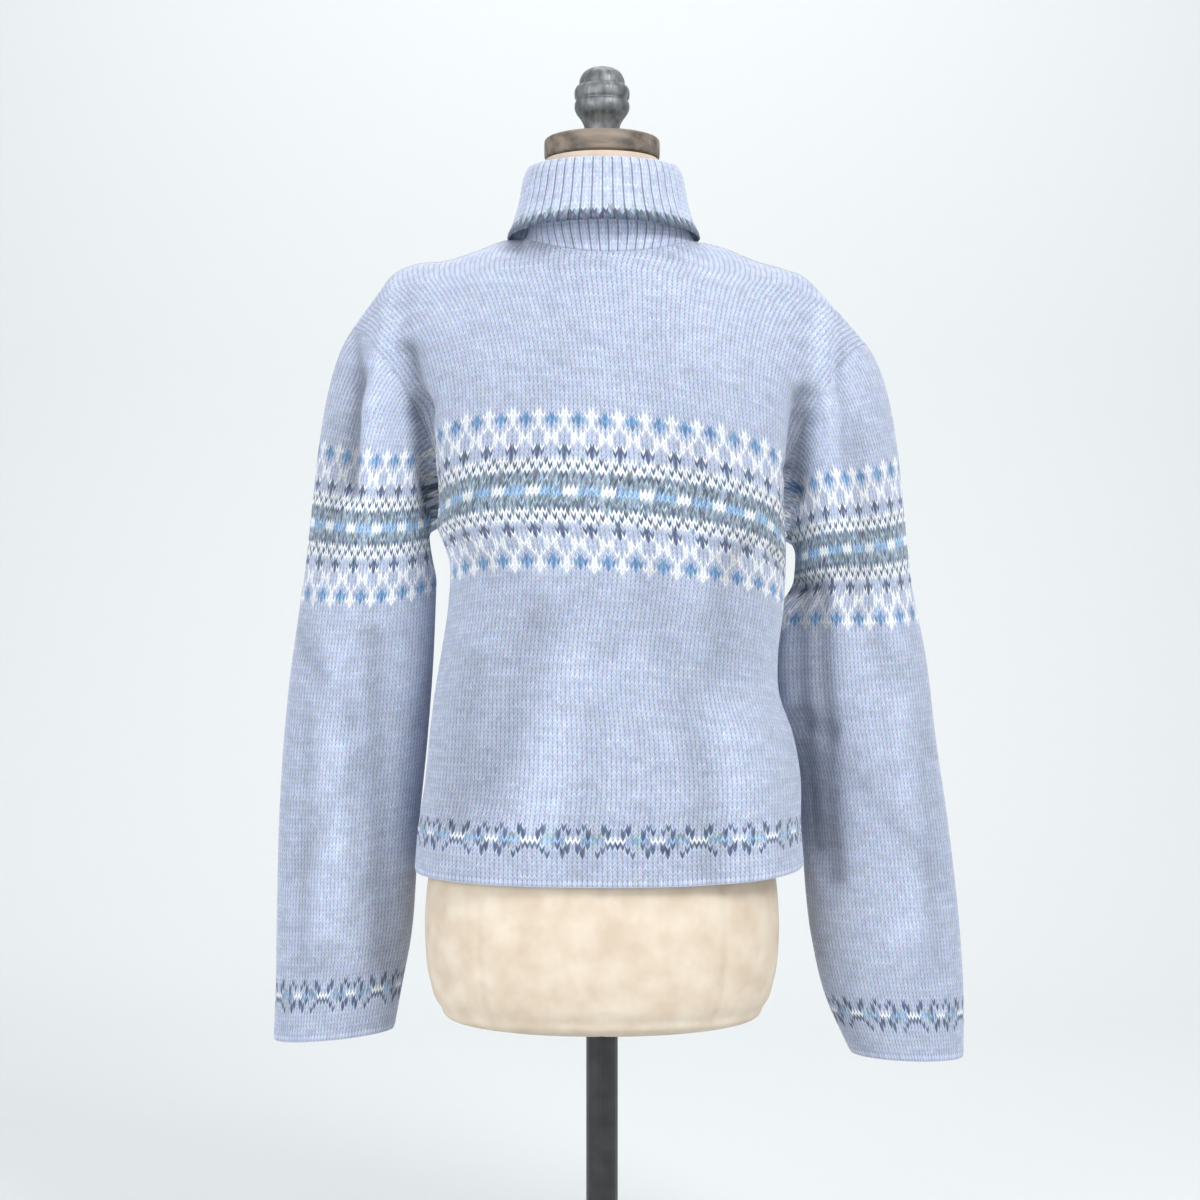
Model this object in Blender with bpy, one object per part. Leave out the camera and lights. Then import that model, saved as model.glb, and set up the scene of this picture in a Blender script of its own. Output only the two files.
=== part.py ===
"""A Fair Isle turtleneck sweater on a limbless dress form.

The sweater is five knitted pieces: back, front, two sleeves and a folded rib collar. Each is a
closed wall of cloth, worked out from rows of sections. It hangs from the shoulders of a padded
form with a turned wooden neck cap and a cast finial, on a pole and a round base.
The wearer's back faces -Y, +X is the wearer's right, +Z is up, and the origin is under the base.
"""

import math

import bmesh
import bpy
import numpy as np

# Driving dimensions in metres. Heights in the tables are measured from the chest line.
CHEST_LINE = 0.680       # the chest line above the floor
WALL = 0.0020            # thickness of the knitted cloth
SEAM_GAP = 0.0003        # room between two pieces at a seam
COLLAR_GAP = 0.0006      # room between the neck edge and the collar sewn to it
SEAT_GAP = 0.0004        # room between the cloth and the shoulders of the form
RIB_COUNT = 52           # ribs round the collar
RIB_RISE = 0.0011        # height of a rib over its groove
POINTS_A_RIB = 3         # one in the groove and two on the rib
HALF_TURN = math.pi

# The mesh: columns from side to side, rows up to the underarm, rows from there to the shoulder.
COLUMNS = 28
NECK_COLUMN = 5          # columns from the centre to each end of the neck
LOWER_ROWS = 9
YOKE_ROWS = 12
SLEEVE_CAP_ROWS = 6
SLEEVE_ARM_ROWS = 12
NECK_SHARE = NECK_COLUMN / (COLUMNS / 2)

# Body below the underarm. share: 0 at the hem, 1 at the underarm.
# columns: share, left edge x, right edge x, back depth, front depth
BODY = (
    (0.00, -0.1650, 0.1780, 0.112, 0.114),
    (0.12, -0.1620, 0.1755, 0.113, 0.114),
    (0.25, -0.1560, 0.1755, 0.112, 0.113),
    (0.40, -0.1515, 0.1680, 0.109, 0.112),
    (0.52, -0.1470, 0.1560, 0.107, 0.113),
    (0.64, -0.1410, 0.1550, 0.107, 0.116),
    (0.78, -0.1350, 0.1600, 0.109, 0.120),
    (0.90, -0.1345, 0.1620, 0.111, 0.122),
    (1.00, -0.1460, 0.1620, 0.112, 0.122),
)
HEM_LEFT, HEM_MIDDLE, HEM_RIGHT = -0.237, -0.240, -0.231
UNDERARM_LEFT, UNDERARM_MIDDLE, UNDERARM_RIGHT = 0.0655, 0.060, 0.055
SQUARENESS = 2.2         # 2 is an ellipse, more is squarer

# Shoulder seen from the back, from the neck out to the top of the armhole.
# columns: share of the way out, x, height
SHOULDER_LEFT = (
    (0.00, -0.0680, 0.3195),
    (0.12, -0.0860, 0.3175),
    (0.28, -0.1100, 0.3085),
    (0.50, -0.1400, 0.2990),
    (0.68, -0.1660, 0.2960),
    (0.80, -0.1860, 0.2860),
    (0.90, -0.2040, 0.2620),
    (1.00, -0.2210, 0.2390),
)
SHOULDER_RIGHT = (
    (0.00, 0.0810, 0.3180),
    (0.07, 0.0900, 0.3160),
    (0.22, 0.1100, 0.3100),
    (0.42, 0.1370, 0.2990),
    (0.60, 0.1610, 0.2920),
    (0.74, 0.1800, 0.2840),
    (0.87, 0.2060, 0.2570),
    (1.00, 0.2345, 0.2250),
)
# Neck seam: how far the back and the front reach, and how high they lie at the middle.
NECK_BACK, NECK_BACK_HEIGHT = 0.062, 0.299
NECK_FRONT, NECK_FRONT_HEIGHT = 0.074, 0.276
# The yoke below the neck: how far its smooth line bridges out, sinks and reaches.
YOKE_BRIDGE = 0.72
YOKE_DIP = 0.016
YOKE_BACK, YOKE_FRONT = 0.046, 0.052
NECK_FADE = 5            # how soon the neck's own curve fades out down the yoke

# Directions in which a column leaves the underarm row and arrives at the shoulder.
# columns: share from the centre to the edge, leave outward, back, up; arrive outward, back, up
YOKE_PULL = (
    (0.00, 0.000, 0.020, 0.260, 0.000, -0.120, 0.130),
    (0.25, 0.000, 0.024, 0.263, 0.000, -0.140, 0.110),
    (0.50, 0.000, 0.036, 0.270, 0.002, -0.170, 0.075),
    (0.75, 0.000, 0.062, 0.268, 0.012, -0.180, 0.045),
    (0.90, -0.010, 0.090, 0.252, 0.045, -0.145, 0.028),
    (1.00, -0.020, 0.110, 0.250, 0.080, -0.120, 0.020),
)

# Sleeves below the cap: flat ovals. share: 0 at the foot of the cap, 1 at the cuff.
# columns: share, outer height, outer x, inner height, inner x, middle y, half depth
SLEEVE_LEFT = (
    (0.00, 0.020, -0.2655, 0.016, -0.1480, 0.018, 0.042),
    (0.18, -0.056, -0.2780, -0.059, -0.1520, 0.029, 0.041),
    (0.34, -0.122, -0.2860, -0.124, -0.1575, 0.038, 0.040),
    (0.54, -0.205, -0.2920, -0.205, -0.1660, 0.046, 0.038),
    (0.78, -0.308, -0.2950, -0.305, -0.1735, 0.052, 0.037),
    (0.90, -0.355, -0.2960, -0.350, -0.1820, 0.054, 0.036),
    (1.00, -0.398, -0.2980, -0.388, -0.1890, 0.055, 0.036),
)
SLEEVE_RIGHT = (
    (0.00, 0.012, 0.2770, 0.006, 0.1710, 0.024, 0.042),
    (0.17, -0.056, 0.2920, -0.061, 0.1680, 0.036, 0.041),
    (0.32, -0.123, 0.3015, -0.126, 0.1730, 0.046, 0.040),
    (0.52, -0.205, 0.3145, -0.207, 0.1810, 0.055, 0.038),
    (0.76, -0.309, 0.3265, -0.311, 0.1920, 0.061, 0.037),
    (0.89, -0.361, 0.3295, -0.363, 0.2050, 0.063, 0.036),
    (1.00, -0.415, 0.3297, -0.412, 0.2270, 0.064, 0.036),
)

# Large folds, each a soft trough (or a ridge, where the depth is negative) along a line on the
# cloth. columns: from x, height; to x, height; half width; depth
BACK_FOLDS = (
    (-0.168, 0.215, -0.158, 0.165, 0.010, 0.0050),
    (-0.158, 0.165, -0.147, 0.085, 0.010, 0.0080),
    (-0.186, 0.240, -0.200, 0.165, 0.010, -0.0050),
    (-0.200, 0.165, -0.210, 0.060, 0.011, -0.0050),
    (-0.217, 0.195, -0.224, 0.100, 0.012, 0.0055),
    (-0.200, -0.040, -0.196, -0.330, 0.013, 0.0040),
    (-0.232, -0.060, -0.240, -0.300, 0.016, -0.0030),
    (-0.055, -0.018, -0.099, -0.168, 0.020, 0.0035),
    (-0.020, -0.060, -0.055, -0.200, 0.022, -0.0025),
    (0.175, 0.175, 0.167, 0.090, 0.010, 0.0080),
    (0.193, 0.235, 0.196, 0.160, 0.010, -0.0050),
    (0.196, 0.160, 0.205, 0.060, 0.012, -0.0050),
    (0.190, 0.010, 0.200, -0.120, 0.010, 0.0070),
    (0.200, -0.120, 0.207, -0.250, 0.011, 0.0060),
    (0.250, -0.020, 0.272, -0.300, 0.018, -0.0030),
    (0.110, 0.040, 0.100, -0.060, 0.018, 0.0030),
    (0.120, -0.110, 0.128, -0.225, 0.020, -0.0035),
)
FRONT_FOLDS = (
    (-0.165, 0.210, -0.150, 0.090, 0.011, 0.0070),
    (-0.186, 0.255, -0.202, 0.080, 0.011, -0.0050),
    (-0.219, 0.185, -0.224, 0.070, 0.012, 0.0050),
    (-0.205, -0.060, -0.200, -0.280, 0.014, 0.0045),
    (-0.090, 0.030, -0.120, -0.180, 0.020, 0.0040),
    (-0.035, -0.040, -0.045, -0.210, 0.024, -0.0035),
    (0.045, -0.050, 0.060, -0.215, 0.022, 0.0035),
    (0.105, 0.020, 0.125, -0.190, 0.020, -0.0040),
    (0.172, 0.200, 0.164, 0.085, 0.011, 0.0075),
    (0.195, 0.255, 0.204, 0.070, 0.011, -0.0050),
    (0.226, 0.180, 0.238, 0.060, 0.012, 0.0050),
    (0.222, -0.060, 0.238, -0.300, 0.015, 0.0045),
)

# Collar, a rib tube folded once: its closed section, up the side that the stand shows, over
# the inside of the fold, round the free edge, and back over the outside of the fold.
# columns: middle x, half width, back reach, front reach, height, rib share (1 is ribbed)
COLLAR_SECTION = (
    (0.0060, 0.0715, 0.0606, 0.0715, 0.3230, 1.0),
    (0.0030, 0.0665, 0.0602, 0.0680, 0.3430, 0.0),
    (0.0012, 0.0657, 0.0606, 0.0664, 0.3770, 0.0),
    (0.0012, 0.0710, 0.0663, 0.0724, 0.3500, 0.0),
    (0.0015, 0.0822, 0.0785, 0.0832, 0.3207, 0.0),
    (0.0015, 0.0850, 0.0812, 0.0860, 0.3207, 1.0),
    (0.0012, 0.0795, 0.0752, 0.0812, 0.3330, 1.0),
    (0.0012, 0.0742, 0.0694, 0.0756, 0.3520, 1.0),
    (0.0012, 0.0705, 0.0652, 0.0710, 0.3720, 1.0),
    (0.0012, 0.0660, 0.0610, 0.0665, 0.3815, 0.6),
    (0.0012, 0.0620, 0.0572, 0.0628, 0.3720, 0.0),
    (0.0030, 0.0640, 0.0576, 0.0655, 0.3450, 0.0),
    (0.0060, 0.0682, 0.0580, 0.0684, 0.3240, 0.0),
)
COLLAR_LEAN = 0.0015     # the collar leans this far forward at its fold

# The form. columns: height, half width, back depth, front depth
TORSO = (
    (-0.375, 0.1040, 0.060, 0.058),
    (-0.370, 0.1270, 0.080, 0.075),
    (-0.356, 0.1430, 0.094, 0.087),
    (-0.333, 0.1520, 0.102, 0.095),
    (-0.300, 0.1560, 0.106, 0.098),
    (-0.240, 0.1530, 0.102, 0.098),
    (-0.180, 0.1420, 0.092, 0.094),
    (-0.110, 0.1240, 0.079, 0.088),
    (-0.060, 0.1185, 0.080, 0.091),
    (0.000, 0.1220, 0.090, 0.103),
    (0.058, 0.1270, 0.097, 0.108),
)
ROUNDED_ROWS = 4         # rows of the table that round the form's lower edge
HIP_ROWS = 13
TIP_COLUMN = 3           # column of the cloth where the form's shoulder ends
UNDERARM_ROOM = 0.016    # more room than the seat's between form and cloth at the underarm
SEATED_FROM = 0.90       # share of the yoke's rise from which the cloth rests on the form
OWN_UP_TO = 0.45         # share of the yoke's rise up to which the form keeps its own section
NECK_TOP_RADIUS = 0.0500
NECK_TOP_HEIGHT = 0.3884
# columns: share of the way up the neck, share of the way in to the top radius
NECK_CURVE = ((0.12, 0.40), (0.30, 0.68), (0.60, 0.88), (1.00, 1.00))

# Turned pieces. columns: radius, height above the underside of the piece
NECK_CAP = (
    (0.0470, 0.0000), (0.0500, 0.0012), (0.0510, 0.0040), (0.0510, 0.0150),
    (0.0498, 0.0180), (0.0465, 0.0195),
)
FINIAL = (
    (0.0150, 0.0000), (0.0157, 0.0095), (0.0185, 0.0160), (0.0225, 0.0215), (0.0243, 0.0262),
    (0.0240, 0.0308), (0.0229, 0.0332), (0.0242, 0.0360), (0.0243, 0.0412), (0.0228, 0.0448),
    (0.0205, 0.0470), (0.0196, 0.0520), (0.0165, 0.0575), (0.0110, 0.0612), (0.0045, 0.0626),
)
BASE = (
    (0.1560, 0.0000), (0.1600, 0.0030), (0.1600, 0.0160), (0.1560, 0.0200), (0.0400, 0.0230),
    (0.0300, 0.0260), (0.0240, 0.0400), (0.0215, 0.0420),
)
POLE_RADIUS = 0.0140
TOUCH_GAP = 0.0003       # room between the hard pieces where one stands on another
CAP_SIDES = 32
FINIAL_SIDES = 18
BASE_SIDES = 40
POLE_SIDES = 20


def hermite(start, end, leave, arrive, share):
    """A cubic curve from start to end with the given directions at its two ends."""
    squared, cubed = share ** 2, share ** 3
    return ((2 * cubed - 3 * squared + 1) * start + (cubed - 2 * squared + share) * leave
            + (3 * squared - 2 * cubed) * end + (cubed - squared) * arrive)


def read_off(table, at):
    """Every column of a table but the first, on a smooth curve through its rows, at `at`."""
    table = np.array(table)
    knots, values = table[:, 0], table[:, 1:]
    slopes = np.gradient(values, knots, axis=0)
    at = np.clip(np.asarray(at, dtype=float), knots[0], knots[-1])
    row = np.clip(np.searchsorted(knots, at, side="right") - 1, 0, len(knots) - 2)
    span = (knots[row + 1] - knots[row])[..., None]
    share = ((at - knots[row])[..., None]) / span
    return hermite(values[row], values[row + 1], slopes[row] * span, slopes[row + 1] * span, share)


def side_to_side(left, middle, right, s):
    """A height that runs from one edge over the middle to the other, for s from -1 to 1."""
    edge = np.where(s < 0, left, right)
    return middle + (edge - middle) * s ** 2


def section(s, left, right, depth, side):
    """Half of a squared oval: x and y for s from -1 at the left edge to 1 at the right edge."""
    angle = s * HALF_TURN / 2
    power = 2 / SQUARENESS
    across = np.sign(s) * np.abs(np.sin(angle)) ** power
    x = (left + right) / 2 + (right - left) / 2 * across
    y = side * depth * np.abs(np.cos(angle)) ** power
    return x, y


def lower_body(side, s, share):
    """The panel below the underarm. side is -1 for the back and 1 for the front."""
    left, right, back, front = np.moveaxis(read_off(BODY, share), -1, 0)
    x, y = section(s, left, right, back if side < 0 else front, side)
    hem = side_to_side(HEM_LEFT, HEM_MIDDLE, HEM_RIGHT, s)
    underarm = side_to_side(UNDERARM_LEFT, UNDERARM_MIDDLE, UNDERARM_RIGHT, s)
    return np.stack([x, y, hem + (underarm - hem) * share], axis=-1)


def yoke_line(side, s):
    """A smooth line from shoulder to shoulder that ignores the neck: the yoke is drawn to it."""
    bridge = np.clip(1 - (s / YOKE_BRIDGE) ** 2, 0, 1) ** 2
    top = top_edge(side, s)
    across = np.clip(np.abs(s) / NECK_SHARE, 0, 1)
    edge = top_edge(side, np.sign(s) * NECK_SHARE)
    height = edge[..., 2] - YOKE_DIP * (1 - across ** 2)
    y = side * (YOKE_BACK if side < 0 else YOKE_FRONT) * bridge
    return np.stack([top[..., 0], y, np.where(across < 1, height, top[..., 2])], axis=-1)


def top_edge(side, s):
    """The shoulder seams, with the neck seam between them."""
    out = (np.abs(s) - NECK_SHARE) / (1 - NECK_SHARE)
    left, right = read_off(SHOULDER_LEFT, out), read_off(SHOULDER_RIGHT, out)
    shoulder = np.where((s < 0)[..., None], left, right)
    turn = np.clip(s / NECK_SHARE, -1, 1) * HALF_TURN / 2
    ends = np.array([SHOULDER_LEFT[0][1:], SHOULDER_RIGHT[0][1:]])
    centre, reach = ends.mean(axis=0), (ends[1] - ends[0]) / 2
    middle = NECK_BACK_HEIGHT if side < 0 else NECK_FRONT_HEIGHT
    neck_y = side * (NECK_BACK if side < 0 else NECK_FRONT) * np.cos(turn)
    edge_height = centre[1] + reach[1] * np.sin(turn)
    neck_height = edge_height + (middle - centre[1]) * np.cos(turn) ** 1.5
    on_neck = np.abs(s) <= NECK_SHARE
    x = np.where(on_neck, centre[0] + reach[0] * np.sin(turn), shoulder[..., 0])
    y = np.where(on_neck, neck_y, 0.0)
    z = np.where(on_neck, neck_height, shoulder[..., 1])
    return np.stack([x, y, z], axis=-1)


def panel(side, s, t):
    """The outer face of the back or the front: t is 0 at the hem, 1 at the underarm, 2 at the top."""
    s, t = np.broadcast_arrays(np.asarray(s, dtype=float), np.asarray(t, dtype=float))
    below = lower_body(side, s, np.clip(t, 0, 1))
    pull = read_off(YOKE_PULL, np.abs(s))
    turned = np.stack([np.sign(s), np.full_like(s, side), np.ones_like(s)], axis=-1)
    leave, arrive = pull[..., 0:3] * turned, pull[..., 3:6] * turned
    rise = np.clip(t - 1, 0, 1)[..., None]
    line = yoke_line(side, s)
    above = hermite(below, line, leave, arrive, rise)
    above = above + (top_edge(side, s) - line) * rise ** NECK_FADE
    return np.where((t > 1)[..., None], above, below)


def panel_grid(side):
    """Rows of points on one panel, from the hem up, each from the left edge to the right edge."""
    s = np.linspace(-1, 1, COLUMNS + 1)
    lower = np.linspace(0, 1, LOWER_ROWS + 1)
    yoke = np.linspace(1, 2, YOKE_ROWS + 1)
    return panel(side, s[None, :], np.concatenate([lower, yoke[1:]])[:, None])


def oval(table, share, angle):
    """A point on a sleeve's flat oval: angle 0 is outermost, then round over the back."""
    outer_z, outer_x, inner_z, inner_x, middle_y, half_depth = np.moveaxis(
        read_off(table, share), -1, 0)
    inward = (1 - np.cos(angle)) / 2
    x = outer_x + (inner_x - outer_x) * inward
    y = middle_y - half_depth * np.sin(angle)
    return np.stack([x, y, outer_z + (inner_z - outer_z) * inward], axis=-1)


def armhole(hand):
    """The armhole from its top down the back to the underarm and up the front, hand -1 is left."""
    t = np.linspace(2, 1, YOKE_ROWS + 1)
    back, front = panel(-1, hand, t), panel(1, hand, t)
    return np.concatenate([back, front[-2:0:-1]])


def sleeve_grid(hand):
    """Rings of points from the armhole to the cuff."""
    table = SLEEVE_LEFT if hand < 0 else SLEEVE_RIGHT
    start = armhole(hand)
    angle = np.linspace(0, 2 * HALF_TURN, len(start), endpoint=False)
    foot = oval(table, np.zeros_like(angle), angle)
    outer = (1 + np.cos(angle)) / 2
    leave = np.stack([hand * (0.050 + 0.040 * outer), -0.045 * np.sin(angle),
                      -0.035 - 0.085 * outer], axis=-1)
    arrive = np.stack([hand * 0.030 * outer, 0.010 * np.ones_like(outer),
                       -0.045 - 0.165 * outer], axis=-1)
    cap = [hermite(start, foot, leave, arrive, np.full_like(angle, share)[:, None])
           for share in np.linspace(0, 1, SLEEVE_CAP_ROWS + 1)]
    arm = [oval(table, np.full_like(angle, share), angle)
           for share in np.linspace(0, 1, SLEEVE_ARM_ROWS + 1)[1:]]
    return np.array(cap + arm)


def strips(rows, columns, closed):
    """The quads of a grid of points, whose columns may close into rings."""
    last = columns if closed else columns - 1
    for row in range(rows - 1):
        for column in range(last):
            after = (column + 1) % columns
            yield (row * columns + column, row * columns + after,
                   (row + 1) * columns + after, (row + 1) * columns + column)


def halves(quad):
    """A quad as two triangles, always split from its first corner."""
    a, b, c, d = quad
    return [(a, b, c), (a, c, d)]


def point_key(point):
    """A place to compare by, the same for the points that two pieces have in common."""
    return tuple(np.round(point, 6))


def shared_normals(sheets):
    """Normals of every sheet's points, the same for both pieces where they meet at a seam."""
    total = {}
    for sheet in sheets.values():
        points = sheet["points"].reshape(-1, 3)
        rows, columns = sheet["points"].shape[:2]
        for quad in strips(rows, columns, sheet["closed"]):
            a, b, c, d = (points[i] for i in quad)
            face = np.cross(c - a, d - b) * sheet["outward"]
            for corner in (a, b, c, d):
                key = point_key(corner)
                total[key] = total.get(key, 0) + face
    for sheet in sheets.values():
        found = np.array([total[point_key(point)] for point in sheet["points"].reshape(-1, 3)])
        found /= np.linalg.norm(found, axis=-1, keepdims=True)
        sheet["normals"] = found.reshape(sheet["points"].shape)


def fold_depth(x, z, folds):
    """How far the folds push the cloth in at a place seen from the back or the front."""
    depth = np.zeros_like(x)
    for x0, z0, x1, z1, width, deep in folds:
        run = np.array([x1 - x0, z1 - z0])
        share = np.clip(((x - x0) * run[0] + (z - z0) * run[1]) / (run @ run), 0, 1)
        away = np.hypot(x - x0 - share * run[0], z - z0 - share * run[1])
        depth += deep * np.exp(-(away / width) ** 2)
    return depth


def press_folds(sheets):
    """Pushes the folds into the grids, on the side of the body that each point faces."""
    for sheet in sheets.values():
        points, normals = sheet["points"], sheet["normals"]
        facing_back = np.clip(-1.6 * normals[..., 1], 0, 1)
        facing_front = np.clip(1.6 * normals[..., 1], 0, 1)
        depth = (fold_depth(points[..., 0], points[..., 2], BACK_FOLDS) * facing_back
                 + fold_depth(points[..., 0], points[..., 2], FRONT_FOLDS) * facing_front)
        sheet["points"] = points - normals * depth[..., None]


def open_seams(sheet):
    """Moves the sewn edges half a seam gap towards the row beside them, on both faces."""
    rows = {"top": (-1, -2), "start": (0, 1)}
    columns = ((0, 1), (-1, -2))
    points = sheet["points"]
    for edge in sheet["sewn"]:
        if edge == "sides":
            for own, beside in columns:
                away = points[:, beside] - points[:, own]
                away *= SEAM_GAP / 2 / np.linalg.norm(away, axis=-1, keepdims=True)
                sheet["outer"][:, own] += away
                sheet["inner"][:, own] += away
        else:
            own, beside = rows[edge]
            away = points[beside] - points[own]
            away *= SEAM_GAP / 2 / np.linalg.norm(away, axis=-1, keepdims=True)
            sheet["outer"][own] += away
            sheet["inner"][own] += away


def cloth_sheets():
    """The five outer grids but the collar's, with their folds, inner faces and seam gaps."""
    sheets = {
        "back": {"points": panel_grid(-1), "closed": False, "outward": 1, "sewn": ("sides", "top")},
        "front": {"points": panel_grid(1), "closed": False, "outward": -1, "sewn": ("sides", "top")},
        "sleeve_left": {"points": sleeve_grid(-1), "closed": True, "outward": -1, "sewn": ("start",)},
        "sleeve_right": {"points": sleeve_grid(1), "closed": True, "outward": 1, "sewn": ("start",)},
    }
    shared_normals(sheets)
    for sheet in sheets.values():
        sheet["unfolded"] = (sheet["points"].copy(), sheet["normals"].copy())
    press_folds(sheets)
    shared_normals(sheets)
    for sheet in sheets.values():
        sheet["outer"] = sheet["points"].copy()
        sheet["inner"] = sheet["points"] - WALL * sheet["normals"]
        open_seams(sheet)
    return sheets


def material(name, colour, roughness, metallic=0.0):
    made = bpy.data.materials.new(name)
    made.use_nodes = True
    shader = made.node_tree.nodes["Principled BSDF"]
    shader.inputs["Base Color"].default_value = (*colour, 1.0)
    shader.inputs["Roughness"].default_value = roughness
    shader.inputs["Metallic"].default_value = metallic
    return made


def add_object(name, points, faces, finish):
    """One closed body whose faces are turned to point out."""
    mesh = bpy.data.meshes.new(name)
    mesh.from_pydata([tuple(p) for p in points], [], faces)
    work = bmesh.new()
    work.from_mesh(mesh)
    bmesh.ops.recalc_face_normals(work, faces=work.faces)
    if work.calc_volume(signed=True) < 0:
        bmesh.ops.reverse_faces(work, faces=work.faces)
    work.to_mesh(mesh)
    work.free()
    mesh.shade_smooth()
    mesh.set_sharp_from_angle(angle=math.radians(40))
    mesh.materials.append(finish)
    made = bpy.data.objects.new(name, mesh)
    bpy.context.scene.collection.objects.link(made)
    return made


def add_wall(name, sheet, finish):
    """A wall of cloth between its outer and inner grids, closed along its edges."""
    rows, columns = sheet["outer"].shape[:2]
    count = rows * columns
    points = np.concatenate([sheet["outer"].reshape(-1, 3), sheet["inner"].reshape(-1, 3)])
    points[:, 2] += CHEST_LINE
    faces = []
    for quad in strips(rows, columns, sheet["closed"]):
        for face in halves(quad):
            faces.append(face)
            faces.append(tuple(count + i for i in reversed(face)))
    top = (rows - 1) * columns
    rims = [[(i, (i + 1) % columns) for i in range(columns if sheet["closed"] else columns - 1)]]
    rims.append([(top + b, top + a) for a, b in rims[0]])
    if not sheet["closed"]:
        rims.append([((r + 1) * columns, r * columns) for r in range(rows - 1)])
        rims.append([(r * columns + columns - 1, (r + 1) * columns + columns - 1)
                     for r in range(rows - 1)])
    places = [point_key(point) for point in sheet["points"].reshape(-1, 3)]
    for rim in rims:
        for a, b in rim:
            quad = (b, a, a + count, b + count)
            faces.extend(halves(quad if places[b] < places[a] else quad[1:] + quad[:1]))
    return add_object(name, points, faces, finish)


def neck_loop(sheets, face):
    """The sewn neck edge of both panels as one ring, from the left round the back."""
    first, last = COLUMNS // 2 - NECK_COLUMN, COLUMNS // 2 + NECK_COLUMN
    back = sheets["back"][face][-1, first:last + 1]
    front = sheets["front"][face][-1, first:last + 1]
    ends = [(back[0] + front[0]) / 2, (back[-1] + front[-1]) / 2]
    return np.array([ends[0], *back[1:-1], ends[1], *front[-2:0:-1]])


def along_loop(loop, bearings):
    """Points on the neck's ring where it crosses the given bearings round its middle."""
    middle = (loop[0] + loop[2 * NECK_COLUMN]) / 2
    turned = np.unwrap(np.arctan2(loop[:, 1] - middle[1], loop[:, 0] - middle[0]))
    turned, ring = np.append(turned, turned[0] + 2 * HALF_TURN), np.vstack([loop, loop[:1]])
    found = []
    for bearing in bearings:
        bearing = turned[0] + (bearing - turned[0]) % (2 * HALF_TURN)
        row = min(np.searchsorted(turned, bearing, side="right") - 1, len(loop) - 1)
        a, b = ring[row, :2] - middle[:2], ring[row + 1, :2] - middle[:2]
        way = np.array([math.cos(bearing), math.sin(bearing)])
        reach_a, reach_b = a[0] * way[1] - a[1] * way[0], b[0] * way[1] - b[1] * way[0]
        found.append(ring[row] + (ring[row + 1] - ring[row]) * reach_a / (reach_a - reach_b))
    return np.array(found)


def collar_ring(row, bearings, grooves):
    """One ring of the collar's section, with the grooves between the ribs where they show."""
    middle, half_width, back, front, height, rib_share = row
    sine, cosine = np.sin(bearings), np.cos(bearings)
    rise = -grooves * rib_share * RIB_RISE
    foot, fold = COLLAR_SECTION[0][4], max(row[4] for row in COLLAR_SECTION)
    lift = (height - foot) / (fold - foot)
    x = middle + (half_width + rise) * cosine
    y = lift * COLLAR_LEAN + (np.where(sine < 0, back, front) + rise) * sine
    return np.stack([x, y, np.full_like(x, height)], axis=-1)


def add_collar(sheets, finish):
    """The rib collar: a stand sewn to the neck edge, folded over and hanging outside itself."""
    count = RIB_COUNT * POINTS_A_RIB
    bearings = np.arange(count) * 2 * HALF_TURN / count
    grooves = (np.arange(count) % POINTS_A_RIB == 0).astype(float)
    up = np.array([0.0, 0.0, COLLAR_GAP])
    rings = [along_loop(neck_loop(sheets, "outer"), bearings) + up]
    rings += [collar_ring(row, bearings, grooves) for row in COLLAR_SECTION]
    rings += [along_loop(neck_loop(sheets, "inner"), bearings) + up]
    points = np.array(rings).reshape(-1, 3)
    points[:, 2] += CHEST_LINE
    faces = list(strips(len(rings), count, True))
    last = (len(rings) - 1) * count
    faces += [(last + i, last + (i + 1) % count, (i + 1) % count, i) for i in range(count)]
    return add_object("collar", points, faces, finish)


def welded(polygons):
    """Unique points and index faces from polygons given as lists of points."""
    index, faces = {}, []
    for polygon in polygons:
        face = []
        for point in polygon:
            number = index.setdefault(tuple(np.round(point, 6)), len(index))
            if number not in face:
                face.append(number)
        if len(face) > 2:
            faces.append(face)
    return list(index), faces


def ease(share):
    """0 to 1 with flat ends."""
    share = np.clip(share, 0, 1)
    return share * share * (3 - 2 * share)


def torso_section(side, s, height):
    """The form's own section, at a height for each point."""
    half_width, back, front = np.moveaxis(read_off(TORSO, height), -1, 0)
    x, y = section(s, -half_width, half_width, back if side < 0 else front, side)
    return np.stack([x, y, height], axis=-1)


def torso_rows(side, seat):
    """The form's rows on one side: its own below the underarm, then up under the cloth."""
    s = np.linspace(-1, 1, COLUMNS + 1)
    rounded = [row[0] for row in TORSO[:ROUNDED_ROWS]]
    heights = [*rounded, *np.linspace(TORSO[ROUNDED_ROWS][0], TORSO[-1][0], HIP_ROWS + 1 - ROUNDED_ROWS)]
    rows = [torso_section(side, s, np.full_like(s, height)) for height in heights]
    for row in range(1, YOKE_ROWS + 1):
        share = row / YOKE_ROWS
        cloth, normal = (part[LOWER_ROWS + row] for part in seat)
        room = WALL + SEAT_GAP + UNDERARM_ROOM * (1 - ease(share / SEATED_FROM))
        seated = cloth - normal * room
        own = torso_section(side, s, seated[:, 2])
        rows.append(own + (seated - own) * ease(share / OWN_UP_TO))
    return rows


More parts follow.
